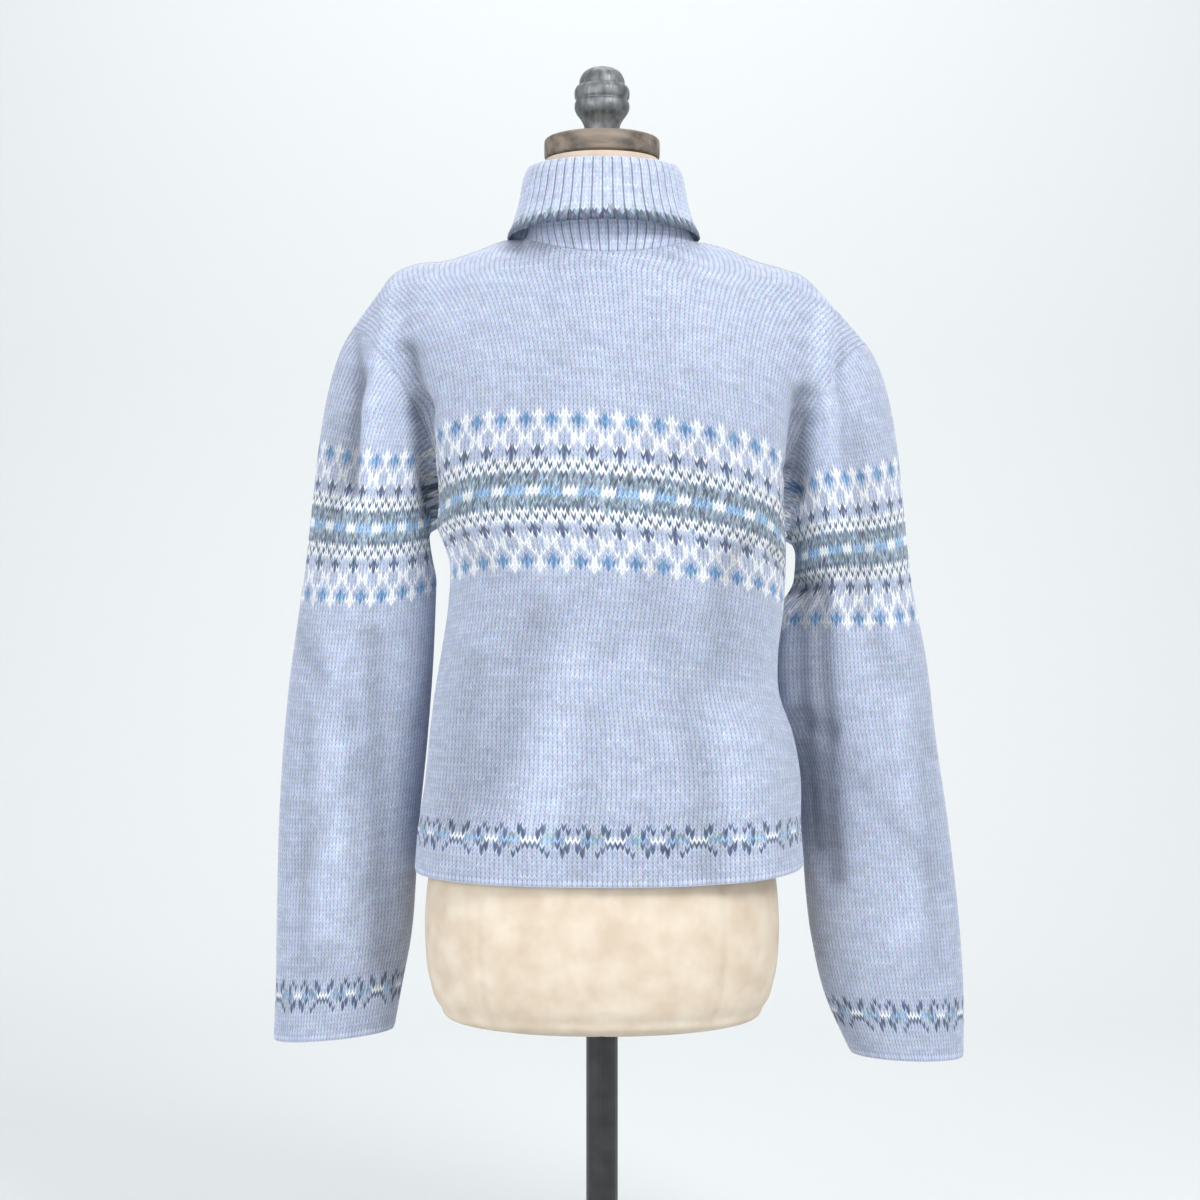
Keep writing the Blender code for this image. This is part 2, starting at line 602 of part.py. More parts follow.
def torso_polygons(back, front):
    """Every face of the form: skin, shoulder ends, neck, and the closed hip and neck ends."""
    tip, far = TIP_COLUMN, COLUMNS - TIP_COLUMN
    for side in (back, front):
        for row in range(len(side) - 1):
            first, last = (0, COLUMNS) if row < HIP_ROWS else (tip, far)
            for j in range(first, last):
                yield from halves((side[row][j], side[row][j + 1],
                                   side[row + 1][j + 1], side[row + 1][j]))
    shelf = HIP_ROWS
    for edge, near in ((tip, range(tip, -1, -1)), (far, range(far, COLUMNS + 1))):
        near = list(near)
        yield [back[shelf][j] for j in near] + [front[shelf][j] for j in reversed(near)]
        for row in range(shelf, len(back) - 1):
            yield [back[row][edge], back[row + 1][edge], front[row + 1][edge], front[row][edge]]
    yield [*back[0], *front[0][-2:0:-1]]
    first, last = COLUMNS // 2 - NECK_COLUMN, COLUMNS // 2 + NECK_COLUMN
    ring = np.array([*back[-1][first:last + 1], *front[-1][last - 1:first:-1]])
    bearings = np.arctan2(ring[:, 1], ring[:, 0])
    top = np.stack([NECK_TOP_RADIUS * np.cos(bearings), NECK_TOP_RADIUS * np.sin(bearings),
                    np.full_like(bearings, NECK_TOP_HEIGHT)], axis=-1)
    ring_start = ring
    for up, inward in NECK_CURVE:
        after = ring_start + (top - ring_start) * np.array([inward, inward, up])
        for i in range(len(ring)):
            j = (i + 1) % len(ring)
            yield [ring[i], ring[j], after[j], after[i]]
        ring = after
    yield list(top)


def add_torso(sheets, finish):
    """The padded form, whole from hips to neck, with flat ends where arms would start."""
    back = torso_rows(-1, sheets["back"]["unfolded"])
    front = torso_rows(1, sheets["front"]["unfolded"])
    points, faces = welded(torso_polygons(back, front))
    points = np.array(points) + np.array([0.0, 0.0, CHEST_LINE])
    return add_object("form_torso", points, faces, finish)


def add_turned(name, profile, bottom, sides, finish):
    """A turned piece with a flat foot and a flat top, standing at the given height."""
    bearings = np.arange(sides) * 2 * HALF_TURN / sides
    rings = np.array([np.stack([radius * np.cos(bearings), radius * np.sin(bearings),
                                np.full(sides, bottom + height)], axis=-1)
                      for radius, height in profile])
    last = (len(profile) - 1) * sides
    faces = list(strips(len(profile), sides, True))
    faces.append(tuple(reversed(range(sides))))
    faces.append(tuple(last + i for i in range(sides)))
    return add_object(name, rings.reshape(-1, 3), faces, finish)


def clear_scene():
    for item in list(bpy.data.objects):
        bpy.data.objects.remove(item, do_unlink=True)


def build():
    clear_scene()
    knit = material("knit", (0.50, 0.52, 0.70), 0.95)
    rib = material("rib_knit", (0.50, 0.52, 0.70), 0.95)
    linen = material("form_cover", (0.78, 0.72, 0.62), 0.90)
    wood = material("turned_wood", (0.20, 0.12, 0.07), 0.45)
    cast = material("cast_metal", (0.24, 0.25, 0.25), 0.45, 0.9)
    painted = material("painted_metal", (0.05, 0.05, 0.05), 0.40, 0.6)

    sheets = cloth_sheets()
    for name, sheet in sheets.items():
        add_wall(name, sheet, knit)
    add_collar(sheets, rib)
    add_torso(sheets, linen)

    cap_bottom = CHEST_LINE + NECK_TOP_HEIGHT + TOUCH_GAP
    cap_top = cap_bottom + NECK_CAP[-1][1]
    add_turned("neck_cap", NECK_CAP, cap_bottom, CAP_SIDES, wood)
    add_turned("finial", FINIAL, cap_top + TOUCH_GAP, FINIAL_SIDES, cast)
    add_turned("stand_base", BASE, 0.0, BASE_SIDES, painted)
    pole_bottom = BASE[-1][1] + TOUCH_GAP
    pole_top = CHEST_LINE + TORSO[0][0] - TOUCH_GAP
    pole = ((POLE_RADIUS, 0.0), (POLE_RADIUS, pole_top - pole_bottom))
    add_turned("stand_pole", pole, pole_bottom, POLE_SIDES, painted)


build()
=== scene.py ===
"""Looks of a Fair Isle turtleneck sweater on a limbless dress form: knit, cover, wood and metal."""

import math

import bmesh
import bpy
import numpy as np
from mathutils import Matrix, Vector


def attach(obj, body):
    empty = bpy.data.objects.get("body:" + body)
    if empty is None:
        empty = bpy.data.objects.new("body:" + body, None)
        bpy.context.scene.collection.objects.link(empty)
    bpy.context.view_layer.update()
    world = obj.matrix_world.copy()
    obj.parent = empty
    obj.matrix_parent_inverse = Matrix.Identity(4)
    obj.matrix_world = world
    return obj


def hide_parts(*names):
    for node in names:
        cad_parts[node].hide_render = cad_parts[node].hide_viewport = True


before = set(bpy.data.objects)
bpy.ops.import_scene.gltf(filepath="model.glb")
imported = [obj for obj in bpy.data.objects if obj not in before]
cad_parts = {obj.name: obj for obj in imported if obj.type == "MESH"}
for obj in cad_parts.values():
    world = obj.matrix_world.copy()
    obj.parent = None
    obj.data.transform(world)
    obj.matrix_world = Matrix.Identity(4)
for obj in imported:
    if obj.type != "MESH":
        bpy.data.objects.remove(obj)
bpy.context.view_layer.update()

# Driving dimensions in metres. Heights in the tables are measured from the chest line.
CHEST_LINE = 0.680       # the chest line above the floor
WALL = 0.0020            # thickness of the knitted cloth
SEAT_GAP = 0.0004        # room between the cloth and the shoulders of the form
RIB_COUNT = 52           # ribs round the collar
HALF_TURN = math.pi

# The mesh: columns from side to side, rows up to the underarm, rows from there to the shoulder.
COLUMNS = 28
NECK_COLUMN = 5          # columns from the centre to each end of the neck
LOWER_ROWS = 9
YOKE_ROWS = 12
SLEEVE_CAP_ROWS = 6
SLEEVE_ARM_ROWS = 12
NECK_SHARE = NECK_COLUMN / (COLUMNS / 2)

# Body below the underarm. share: 0 at the hem, 1 at the underarm.
# columns: share, left edge x, right edge x, back depth, front depth
BODY = (
    (0.00, -0.1650, 0.1780, 0.112, 0.114),
    (0.12, -0.1620, 0.1755, 0.113, 0.114),
    (0.25, -0.1560, 0.1755, 0.112, 0.113),
    (0.40, -0.1515, 0.1680, 0.109, 0.112),
    (0.52, -0.1470, 0.1560, 0.107, 0.113),
    (0.64, -0.1410, 0.1550, 0.107, 0.116),
    (0.78, -0.1350, 0.1600, 0.109, 0.120),
    (0.90, -0.1345, 0.1620, 0.111, 0.122),
    (1.00, -0.1460, 0.1620, 0.112, 0.122),
)
HEM_LEFT, HEM_MIDDLE, HEM_RIGHT = -0.237, -0.240, -0.231
UNDERARM_LEFT, UNDERARM_MIDDLE, UNDERARM_RIGHT = 0.0655, 0.060, 0.055
SQUARENESS = 2.2         # 2 is an ellipse, more is squarer

# Shoulder seen from the back, from the neck out to the top of the armhole.
# columns: share of the way out, x, height
SHOULDER_LEFT = (
    (0.00, -0.0680, 0.3195),
    (0.12, -0.0860, 0.3175),
    (0.28, -0.1100, 0.3085),
    (0.50, -0.1400, 0.2990),
    (0.68, -0.1660, 0.2960),
    (0.80, -0.1860, 0.2860),
    (0.90, -0.2040, 0.2620),
    (1.00, -0.2210, 0.2390),
)
SHOULDER_RIGHT = (
    (0.00, 0.0810, 0.3180),
    (0.07, 0.0900, 0.3160),
    (0.22, 0.1100, 0.3100),
    (0.42, 0.1370, 0.2990),
    (0.60, 0.1610, 0.2920),
    (0.74, 0.1800, 0.2840),
    (0.87, 0.2060, 0.2570),
    (1.00, 0.2345, 0.2250),
)
# Neck seam: how far the back and the front reach, and how high they lie at the middle.
NECK_BACK, NECK_BACK_HEIGHT = 0.062, 0.299
NECK_FRONT, NECK_FRONT_HEIGHT = 0.074, 0.276
# The yoke below the neck: how far its smooth line bridges out, sinks and reaches.
YOKE_BRIDGE = 0.72
YOKE_DIP = 0.016
YOKE_BACK, YOKE_FRONT = 0.046, 0.052
NECK_FADE = 5            # how soon the neck's own curve fades out down the yoke

# Directions in which a column leaves the underarm row and arrives at the shoulder.
# columns: share from the centre to the edge, leave outward, back, up; arrive outward, back, up
YOKE_PULL = (
    (0.00, 0.000, 0.020, 0.260, 0.000, -0.120, 0.130),
    (0.25, 0.000, 0.024, 0.263, 0.000, -0.140, 0.110),
    (0.50, 0.000, 0.036, 0.270, 0.002, -0.170, 0.075),
    (0.75, 0.000, 0.062, 0.268, 0.012, -0.180, 0.045),
    (0.90, -0.010, 0.090, 0.252, 0.045, -0.145, 0.028),
    (1.00, -0.020, 0.110, 0.250, 0.080, -0.120, 0.020),
)

# Sleeves below the cap: flat ovals. share: 0 at the foot of the cap, 1 at the cuff.
# columns: share, outer height, outer x, inner height, inner x, middle y, half depth
SLEEVE_LEFT = (
    (0.00, 0.020, -0.2655, 0.016, -0.1480, 0.018, 0.042),
    (0.18, -0.056, -0.2780, -0.059, -0.1520, 0.029, 0.041),
    (0.34, -0.122, -0.2860, -0.124, -0.1575, 0.038, 0.040),
    (0.54, -0.205, -0.2920, -0.205, -0.1660, 0.046, 0.038),
    (0.78, -0.308, -0.2950, -0.305, -0.1735, 0.052, 0.037),
    (0.90, -0.355, -0.2960, -0.350, -0.1820, 0.054, 0.036),
    (1.00, -0.398, -0.2980, -0.388, -0.1890, 0.055, 0.036),
)
SLEEVE_RIGHT = (
    (0.00, 0.012, 0.2770, 0.006, 0.1710, 0.024, 0.042),
    (0.17, -0.056, 0.2920, -0.061, 0.1680, 0.036, 0.041),
    (0.32, -0.123, 0.3015, -0.126, 0.1730, 0.046, 0.040),
    (0.52, -0.205, 0.3145, -0.207, 0.1810, 0.055, 0.038),
    (0.76, -0.309, 0.3265, -0.311, 0.1920, 0.061, 0.037),
    (0.89, -0.361, 0.3295, -0.363, 0.2050, 0.063, 0.036),
    (1.00, -0.415, 0.3297, -0.412, 0.2270, 0.064, 0.036),
)

# Folds, each a soft trough (or a ridge, where the depth is negative) along a line on the cloth.
# The first 17 of the back's and the first 12 of the front's are in the solids too.
# columns, in millimetres: from x, height; to x, height; half width; depth
BACK_FOLDS = (
    (-168, 215, -158, 165, 10, 5),
    (-158, 165, -147, 85, 10, 8),
    (-186, 240, -200, 165, 10, -5),
    (-200, 165, -210, 60, 11, -5),
    (-217, 195, -224, 100, 12, 5.5),
    (-200, -40, -196, -330, 13, 4),
    (-232, -60, -240, -300, 16, -3),
    (-55, -18, -99, -168, 20, 3.5),
    (-20, -60, -55, -200, 22, -2.5),
    (175, 175, 167, 90, 10, 8),
    (193, 235, 196, 160, 10, -5),
    (196, 160, 205, 60, 12, -5),
    (190, 10, 200, -120, 10, 7),
    (200, -120, 207, -250, 11, 6),
    (250, -20, 272, -300, 18, -3),
    (110, 40, 100, -60, 18, 3),
    (120, -110, 128, -225, 20, -3.5),
    (-168, 219, -159, 173, 5, 3),
    (-159, 173, -150, 102, 6, 3.6),
    (-150, 102, -146, 62, 6, 3.6),
    (-183, 274, -192, 221, 8, -2.5),
    (-192, 221, -204, 130, 7.5, -3.5),
    (-221, 240, -213, 190, 7, 3.5),
    (-213, 190, -217, 90, 6.5, 4.5),
    (-236, 150, -243, 20, 9, 2),
    (-140, 72, -96, 24, 8, 2.2),
    (-139, 88, -104, 80, 7, 1.6),
    (-285, -10, -226, -110, 12, 2.8),
    (-212, -150, -275, -245, 12, 2.2),
    (-262, -100, -270, -340, 9, 2.2),
    (-224, -60, -220, -250, 8, 2),
    (-205, -250, -250, -330, 10, 1.8),
    (173.5, 158, 165, 111, 5, 4),
    (165, 111, 160, 58, 6, 4.5),
    (206, 215, 212, 110, 7, 3),
    (193, 265, 195, 160, 7.5, -3),
    (224, 150, 236, 20, 10, 2.5),
    (150, 66, 112, 30, 8, 2),
    (212, 30, 262, -70, 12, 2.6),
    (246, -40, 268, -280, 10, 2.2),
    (225, -160, 300, -250, 12, 2.2),
    (290, -120, 302, -340, 9, 1.8),
    (172, 10, 178, -112, 10, 6),
    (178, -112, 189, -223, 12, 6.5),
    (150, 40, 172, 10, 8, 5),
    (-80, 100, -30, 220, 20, 1.5),
    (85, 80, 40, 210, 20, 1.3),
    (40, 20, 72, -110, 15, 2.2),
    (-110, -60, -128, -190, 13, 2.6),
    (82, -130, 94, -230, 14, 2.2),
    (-10, -100, -20, -232, 15, 1.8),
    (20, -20, -30, -90, 15, 1.5),
)
FRONT_FOLDS = (
    (-165, 210, -150, 90, 11, 7),
    (-186, 255, -202, 80, 11, -5),
    (-219, 185, -224, 70, 12, 5),
    (-205, -60, -200, -280, 14, 4.5),
    (-90, 30, -120, -180, 20, 4),
    (-35, -40, -45, -210, 24, -3.5),
    (45, -50, 60, -215, 22, 3.5),
    (105, 20, 125, -190, 20, -4),
    (172, 200, 164, 85, 11, 7.5),
    (195, 255, 204, 70, 11, -5),
    (226, 180, 238, 60, 12, 5),
    (222, -60, 238, -300, 15, 4.5),
    (-172, 225, -148, 110, 5.5, 4),
    (182, 175, 168, 95, 5.5, 4),
    (-120, 80, -60, 20, 12, 2.6),
    (125, 60, 70, 5, 12, 2.6),
    (-135, 100, -85, 110, 10, 1.8),
    (138, 110, 90, 125, 10, 1.8),
    (-20, -60, -10, -200, 15, 2.2),
    (80, -100, 92, -225, 13, 2.5),
    (-98, -110, -86, -228, 13, 2.2),
    (20, 240, 50, 150, 18, 1.6),
    (-30, 245, -55, 160, 18, 1.6),
    (-216, -20, -214, -230, 9, 2.5),
    (-270, -60, -240, -170, 11, 2.4),
    (-285, -210, -250, -300, 11, 2),
    (244, -40, 262, -290, 10, 2.5),
    (218, 20, 270, -80, 12, 2.6),
    (300, -150, 245, -240, 12, 2.2),
)
MILLIMETRE = 0.001
FOLD_FACING = 1.6        # how soon a point that turns to one side takes that side's folds

# Collar, a rib tube folded once: its closed section, up the side that the stand shows, over
# the inside of the fold, round the free edge, and back over the outside of the fold.
# columns: middle x, half width, back reach, front reach, height, rib share (1 is ribbed)
COLLAR_SECTION = (
    (0.0060, 0.0715, 0.0606, 0.0715, 0.3230, 1.0),
    (0.0030, 0.0665, 0.0602, 0.0680, 0.3430, 0.0),
    (0.0012, 0.0657, 0.0606, 0.0664, 0.3770, 0.0),
    (0.0012, 0.0710, 0.0663, 0.0724, 0.3500, 0.0),
    (0.0015, 0.0822, 0.0785, 0.0832, 0.3207, 0.0),
    (0.0015, 0.0850, 0.0812, 0.0860, 0.3207, 1.0),
    (0.0012, 0.0795, 0.0752, 0.0812, 0.3330, 1.0),
    (0.0012, 0.0742, 0.0694, 0.0756, 0.3520, 1.0),
    (0.0012, 0.0705, 0.0652, 0.0710, 0.3720, 1.0),
    (0.0012, 0.0660, 0.0610, 0.0665, 0.3815, 0.6),
    (0.0012, 0.0620, 0.0572, 0.0628, 0.3720, 0.0),
    (0.0030, 0.0640, 0.0576, 0.0655, 0.3450, 0.0),
    (0.0060, 0.0682, 0.0580, 0.0684, 0.3240, 0.0),
)
COLLAR_LEAN = 0.0015     # the collar leans this far forward at its fold

# The form. columns: height, half width, back depth, front depth
TORSO = (
    (-0.375, 0.1040, 0.060, 0.058),
    (-0.370, 0.1270, 0.080, 0.075),
    (-0.356, 0.1430, 0.094, 0.087),
    (-0.333, 0.1520, 0.102, 0.095),
    (-0.300, 0.1560, 0.106, 0.098),
    (-0.240, 0.1530, 0.102, 0.098),
    (-0.180, 0.1420, 0.092, 0.094),
    (-0.110, 0.1240, 0.079, 0.088),
    (-0.060, 0.1185, 0.080, 0.091),
    (0.000, 0.1220, 0.090, 0.103),
    (0.058, 0.1270, 0.097, 0.108),
)
TIP_COLUMN = 3           # column of the cloth where the form's shoulder ends
UNDERARM_ROOM = 0.016    # more room than the seat's between form and cloth at the underarm
SEATED_FROM = 0.90       # share of the yoke's rise from which the cloth rests on the form
OWN_UP_TO = 0.45         # share of the yoke's rise up to which the form keeps its own section
NECK_TOP_RADIUS = 0.0500
NECK_TOP_HEIGHT = 0.3884
# columns: share of the way up the neck, share of the way in to the top radius
NECK_CURVE = ((0.12, 0.40), (0.30, 0.68), (0.60, 0.88), (1.00, 1.00))

# Turned pieces. columns: radius, height above the underside of the piece
NECK_CAP = (
    (0.0470, 0.0000), (0.0500, 0.0012), (0.0510, 0.0040), (0.0510, 0.0150),
    (0.0498, 0.0180), (0.0465, 0.0195),
)
FINIAL = (
    (0.0150, 0.0000), (0.0157, 0.0095), (0.0185, 0.0160), (0.0225, 0.0215), (0.0243, 0.0262),
    (0.0240, 0.0308), (0.0229, 0.0332), (0.0242, 0.0360), (0.0243, 0.0412), (0.0228, 0.0448),
    (0.0205, 0.0470), (0.0196, 0.0520), (0.0165, 0.0575), (0.0110, 0.0612), (0.0045, 0.0626),
)
TOUCH_GAP = 0.0003       # room between the hard pieces where one stands on another


def hermite(start, end, leave, arrive, share):
    """A cubic curve from start to end with the given directions at its two ends."""
    squared, cubed = share ** 2, share ** 3
    return ((2 * cubed - 3 * squared + 1) * start + (cubed - 2 * squared + share) * leave
            + (3 * squared - 2 * cubed) * end + (cubed - squared) * arrive)


def read_off(table, at):
    """Every column of a table but the first, on a smooth curve through its rows, at `at`."""
    table = np.array(table)
    knots, values = table[:, 0], table[:, 1:]
    slopes = np.gradient(values, knots, axis=0)
    at = np.clip(np.asarray(at, dtype=float), knots[0], knots[-1])
    row = np.clip(np.searchsorted(knots, at, side="right") - 1, 0, len(knots) - 2)
    span = (knots[row + 1] - knots[row])[..., None]
    share = ((at - knots[row])[..., None]) / span
    return hermite(values[row], values[row + 1], slopes[row] * span, slopes[row + 1] * span, share)


def side_to_side(left, middle, right, s):
    """A height that runs from one edge over the middle to the other, for s from -1 to 1."""
    edge = np.where(s < 0, left, right)
    return middle + (edge - middle) * s ** 2


def section(s, left, right, depth, side):
    """Half of a squared oval: x and y for s from -1 at the left edge to 1 at the right edge."""
    angle = s * HALF_TURN / 2
    power = 2 / SQUARENESS
    across = np.sign(s) * np.abs(np.sin(angle)) ** power
    x = (left + right) / 2 + (right - left) / 2 * across
    y = side * depth * np.abs(np.cos(angle)) ** power
    return x, y


def lower_body(side, s, share):
    """The panel below the underarm. side is -1 for the back and 1 for the front."""
    left, right, back, front = np.moveaxis(read_off(BODY, share), -1, 0)
    x, y = section(s, left, right, back if side < 0 else front, side)
    hem = side_to_side(HEM_LEFT, HEM_MIDDLE, HEM_RIGHT, s)
    underarm = side_to_side(UNDERARM_LEFT, UNDERARM_MIDDLE, UNDERARM_RIGHT, s)
    return np.stack([x, y, hem + (underarm - hem) * share], axis=-1)


def yoke_line(side, s):
    """A smooth line from shoulder to shoulder that ignores the neck: the yoke is drawn to it."""
    bridge = np.clip(1 - (s / YOKE_BRIDGE) ** 2, 0, 1) ** 2
    top = top_edge(side, s)
    across = np.clip(np.abs(s) / NECK_SHARE, 0, 1)
    edge = top_edge(side, np.sign(s) * NECK_SHARE)
    height = edge[..., 2] - YOKE_DIP * (1 - across ** 2)
    y = side * (YOKE_BACK if side < 0 else YOKE_FRONT) * bridge
    return np.stack([top[..., 0], y, np.where(across < 1, height, top[..., 2])], axis=-1)


def top_edge(side, s):
    """The shoulder seams, with the neck seam between them."""
    out = (np.abs(s) - NECK_SHARE) / (1 - NECK_SHARE)
    left, right = read_off(SHOULDER_LEFT, out), read_off(SHOULDER_RIGHT, out)
    shoulder = np.where((s < 0)[..., None], left, right)
    turn = np.clip(s / NECK_SHARE, -1, 1) * HALF_TURN / 2
    ends = np.array([SHOULDER_LEFT[0][1:], SHOULDER_RIGHT[0][1:]])
    centre, reach = ends.mean(axis=0), (ends[1] - ends[0]) / 2
    middle = NECK_BACK_HEIGHT if side < 0 else NECK_FRONT_HEIGHT
    neck_y = side * (NECK_BACK if side < 0 else NECK_FRONT) * np.cos(turn)
    edge_height = centre[1] + reach[1] * np.sin(turn)
    neck_height = edge_height + (middle - centre[1]) * np.cos(turn) ** 1.5
    on_neck = np.abs(s) <= NECK_SHARE
    x = np.where(on_neck, centre[0] + reach[0] * np.sin(turn), shoulder[..., 0])
    y = np.where(on_neck, neck_y, 0.0)
    z = np.where(on_neck, neck_height, shoulder[..., 1])
    return np.stack([x, y, z], axis=-1)


def panel(side, s, t):
    """The outer face of the back or the front: t is 0 at the hem, 1 at the underarm, 2 at the top."""
    s, t = np.broadcast_arrays(np.asarray(s, dtype=float), np.asarray(t, dtype=float))
    below = lower_body(side, s, np.clip(t, 0, 1))
    pull = read_off(YOKE_PULL, np.abs(s))
    turned = np.stack([np.sign(s), np.full_like(s, side), np.ones_like(s)], axis=-1)
    leave, arrive = pull[..., 0:3] * turned, pull[..., 3:6] * turned
    rise = np.clip(t - 1, 0, 1)[..., None]
    line = yoke_line(side, s)
    above = hermite(below, line, leave, arrive, rise)
    above = above + (top_edge(side, s) - line) * rise ** NECK_FADE
    return np.where((t > 1)[..., None], above, below)


def panel_grid(side):
    """Rows of points on one panel, from the hem up, each from the left edge to the right edge."""
    s = np.linspace(-1, 1, COLUMNS + 1)
    lower = np.linspace(0, 1, LOWER_ROWS + 1)
    yoke = np.linspace(1, 2, YOKE_ROWS + 1)
    return panel(side, s[None, :], np.concatenate([lower, yoke[1:]])[:, None])


def oval(table, share, angle):
    """A point on a sleeve's flat oval: angle 0 is outermost, then round over the back."""
    outer_z, outer_x, inner_z, inner_x, middle_y, half_depth = np.moveaxis(
        read_off(table, share), -1, 0)
    inward = (1 - np.cos(angle)) / 2
    x = outer_x + (inner_x - outer_x) * inward
    y = middle_y - half_depth * np.sin(angle)
    return np.stack([x, y, outer_z + (inner_z - outer_z) * inward], axis=-1)


def sleeve_table(hand):
    """The table of one sleeve's ovals: hand is -1 for the left and 1 for the right."""
    return SLEEVE_LEFT if hand < 0 else SLEEVE_RIGHT


# How the sleeve's cap leaves the armhole and arrives at its foot. columns: outward, forward, up. The
# first row holds everywhere, and the second is added in full on the outermost line.
CAP_LEAVE = ((0.050, 0.0, -0.035), (0.040, 0.0, -0.085))
CAP_LEAVE_ROUND = -0.045
CAP_ARRIVE = ((0.0, 0.010, -0.045), (0.030, 0.0, -0.165))


def cap_direction(rows, hand, outer):
    """A direction of the cap's curve, for each share that a point has of the outermost line."""
    everywhere, outermost = np.array(rows) * (hand, 1, 1)
    return everywhere + outermost * outer[..., None]


def sleeve_surface(hand, around, along_it):
    """Points on a sleeve: around 0 to 1 from the outermost line over the back, and along_it
    0 to 1 down the cap and 1 to 2 down the arm."""
    around, along_it = np.broadcast_arrays(around % 1, along_it)
    edge = np.full_like(around, hand)
    start = np.where((around <= 0.5)[..., None], panel(-1, edge, 2 - 2 * around), panel(1, edge, 2 * around))
    angle = around * 2 * HALF_TURN
    foot = oval(sleeve_table(hand), np.zeros_like(angle), angle)
    outer = (1 + np.cos(angle)) / 2
    leave, arrive = (cap_direction(rows, hand, outer) for rows in (CAP_LEAVE, CAP_ARRIVE))
    leave[..., 1] += CAP_LEAVE_ROUND * np.sin(angle)
    cap = hermite(start, foot, leave, arrive, np.clip(along_it, 0, 1)[..., None])
    arm = oval(sleeve_table(hand), np.clip(along_it - 1, 0, 1), angle)
    return np.where((along_it > 1)[..., None], arm, cap)


def sleeve_grid(hand):
    """Rings of points from the armhole to the cuff."""
    around = np.arange(2 * YOKE_ROWS) / (2 * YOKE_ROWS)
    cap, arm = np.linspace(0, 1, SLEEVE_CAP_ROWS + 1), np.linspace(1, 2, SLEEVE_ARM_ROWS + 1)
    return sleeve_surface(hand, around, np.concatenate([cap, arm[1:]])[:, None])


def strips(rows, columns, closed):
    """The quads of a grid of points, whose columns may close into rings."""
    last = columns if closed else columns - 1
    for row in range(rows - 1):
        for column in range(last):
            after = (column + 1) % columns
            yield (row * columns + column, row * columns + after,
                   (row + 1) * columns + after, (row + 1) * columns + column)


def point_key(point):
    """A place to compare by, the same for the points that two pieces have in common."""
    return tuple(np.round(point, 6))


def shared_normals(sheets):
    """Normals of every sheet's points, the same for both pieces where they meet at a seam."""
    total = {}
    for sheet in sheets.values():
        points = sheet["points"].reshape(-1, 3)
        rows, columns = sheet["points"].shape[:2]
        for quad in strips(rows, columns, sheet["closed"]):
            a, b, c, d = (points[i] for i in quad)
            face = np.cross(c - a, d - b) * sheet["outward"]
            for corner in (a, b, c, d):
                key = point_key(corner)
                total[key] = total.get(key, 0) + face
    for sheet in sheets.values():
        found = np.array([total[point_key(point)] for point in sheet["points"].reshape(-1, 3)])
        found /= np.linalg.norm(found, axis=-1, keepdims=True)
        sheet["normals"] = found.reshape(sheet["points"].shape)


def fold_depth(x, z, folds):
    """How far the folds push the cloth in at a place seen from the back or the front."""
    depth = np.zeros_like(x)
    for x0, z0, x1, z1, width, deep in np.array(folds) * MILLIMETRE:
        run = np.array([x1 - x0, z1 - z0])
        share = np.clip(((x - x0) * run[0] + (z - z0) * run[1]) / (run @ run), 0, 1)
        away = np.hypot(x - x0 - share * run[0], z - z0 - share * run[1])
        depth += deep * np.exp(-(away / width) ** 2)
    return depth


def folds_on(points, normals):
    """How deep the folds lie at each point, on the side of the body that it faces."""
    back, front = (np.clip(side * FOLD_FACING * normals[..., 1], 0, 1) for side in (-1, 1))
    x, z = points[..., 0], points[..., 2]
    return fold_depth(x, z, BACK_FOLDS) * back + fold_depth(x, z, FRONT_FOLDS) * front


def collar_ring(row, bearings):
    """One ring of the collar's section."""
    middle, half_width, back, front, height = row[:5]
    sine = np.sin(bearings)
    foot, fold = COLLAR_SECTION[0][4], max(row[4] for row in COLLAR_SECTION)
    y = (height - foot) / (fold - foot) * COLLAR_LEAN + np.where(sine < 0, back, front) * sine
    return np.stack([middle + half_width * np.cos(bearings), y, np.full_like(y, height)], axis=-1)


def ease(share):
    """0 to 1 with flat ends."""
    share = np.clip(share, 0, 1)
    return share * share * (3 - 2 * share)


def torso_section(side, s, height):
    """The form's own section, at a height for each point."""
    half_width, back, front = np.moveaxis(read_off(TORSO, height), -1, 0)
    x, y = section(s, -half_width, half_width, back if side < 0 else front, side)
    return np.stack([x, y, height], axis=-1)


# The knit. Lengths are metres, and counts are stitches.
WALES = 108              # stitches from side seam to side seam on the back and the front
ROWS = 155               # courses from the hem up
BAND_MIDDLE = 86         # courses from the hem to the middle of the patterned band
ROW_PITCH = 0.00392
SLEEVE_WALES = 102
SLEEVE_ROWS = 165
SLEEVE_BAND = 114        # courses from the cuff to the middle of the sleeve's band
SLEEVE_PITCH = 0.00393
SLANT = 1.10             # how much higher the outer end of a stitch's leg lies, in courses
YARN_UP = 0.00044        # crown of the yarn over the cloth's face
YARN_DOWN = -0.00024     # bottom of the gaps between yarns
# Painted shade in the gaps: how dark the yarn is painted in the middle of a stitch, where its legs part, and
# between stitches.
KNIT_GAP_SHADES = (0.40, 0.76)
RIB_GAP_SHADES = (0.70, 0.88)
RIB_SLANT = 0.80
WHITE_GLOW = 0.20        # white yarn passes light on, so the painted shade in its gaps is lighter by this much
FOLD_SHADE = 0.42        # painted shade: how much darker the yarn is painted at the bottom of a deep fold
# fold depth at which that painted shade is full
DEEP = 0.007
SHORTEST = 0.0006        # stitches cut shorter than this by a seam are left out
COLLAR_ROWS = 64
GROOVE_DEPTH = 0.0009

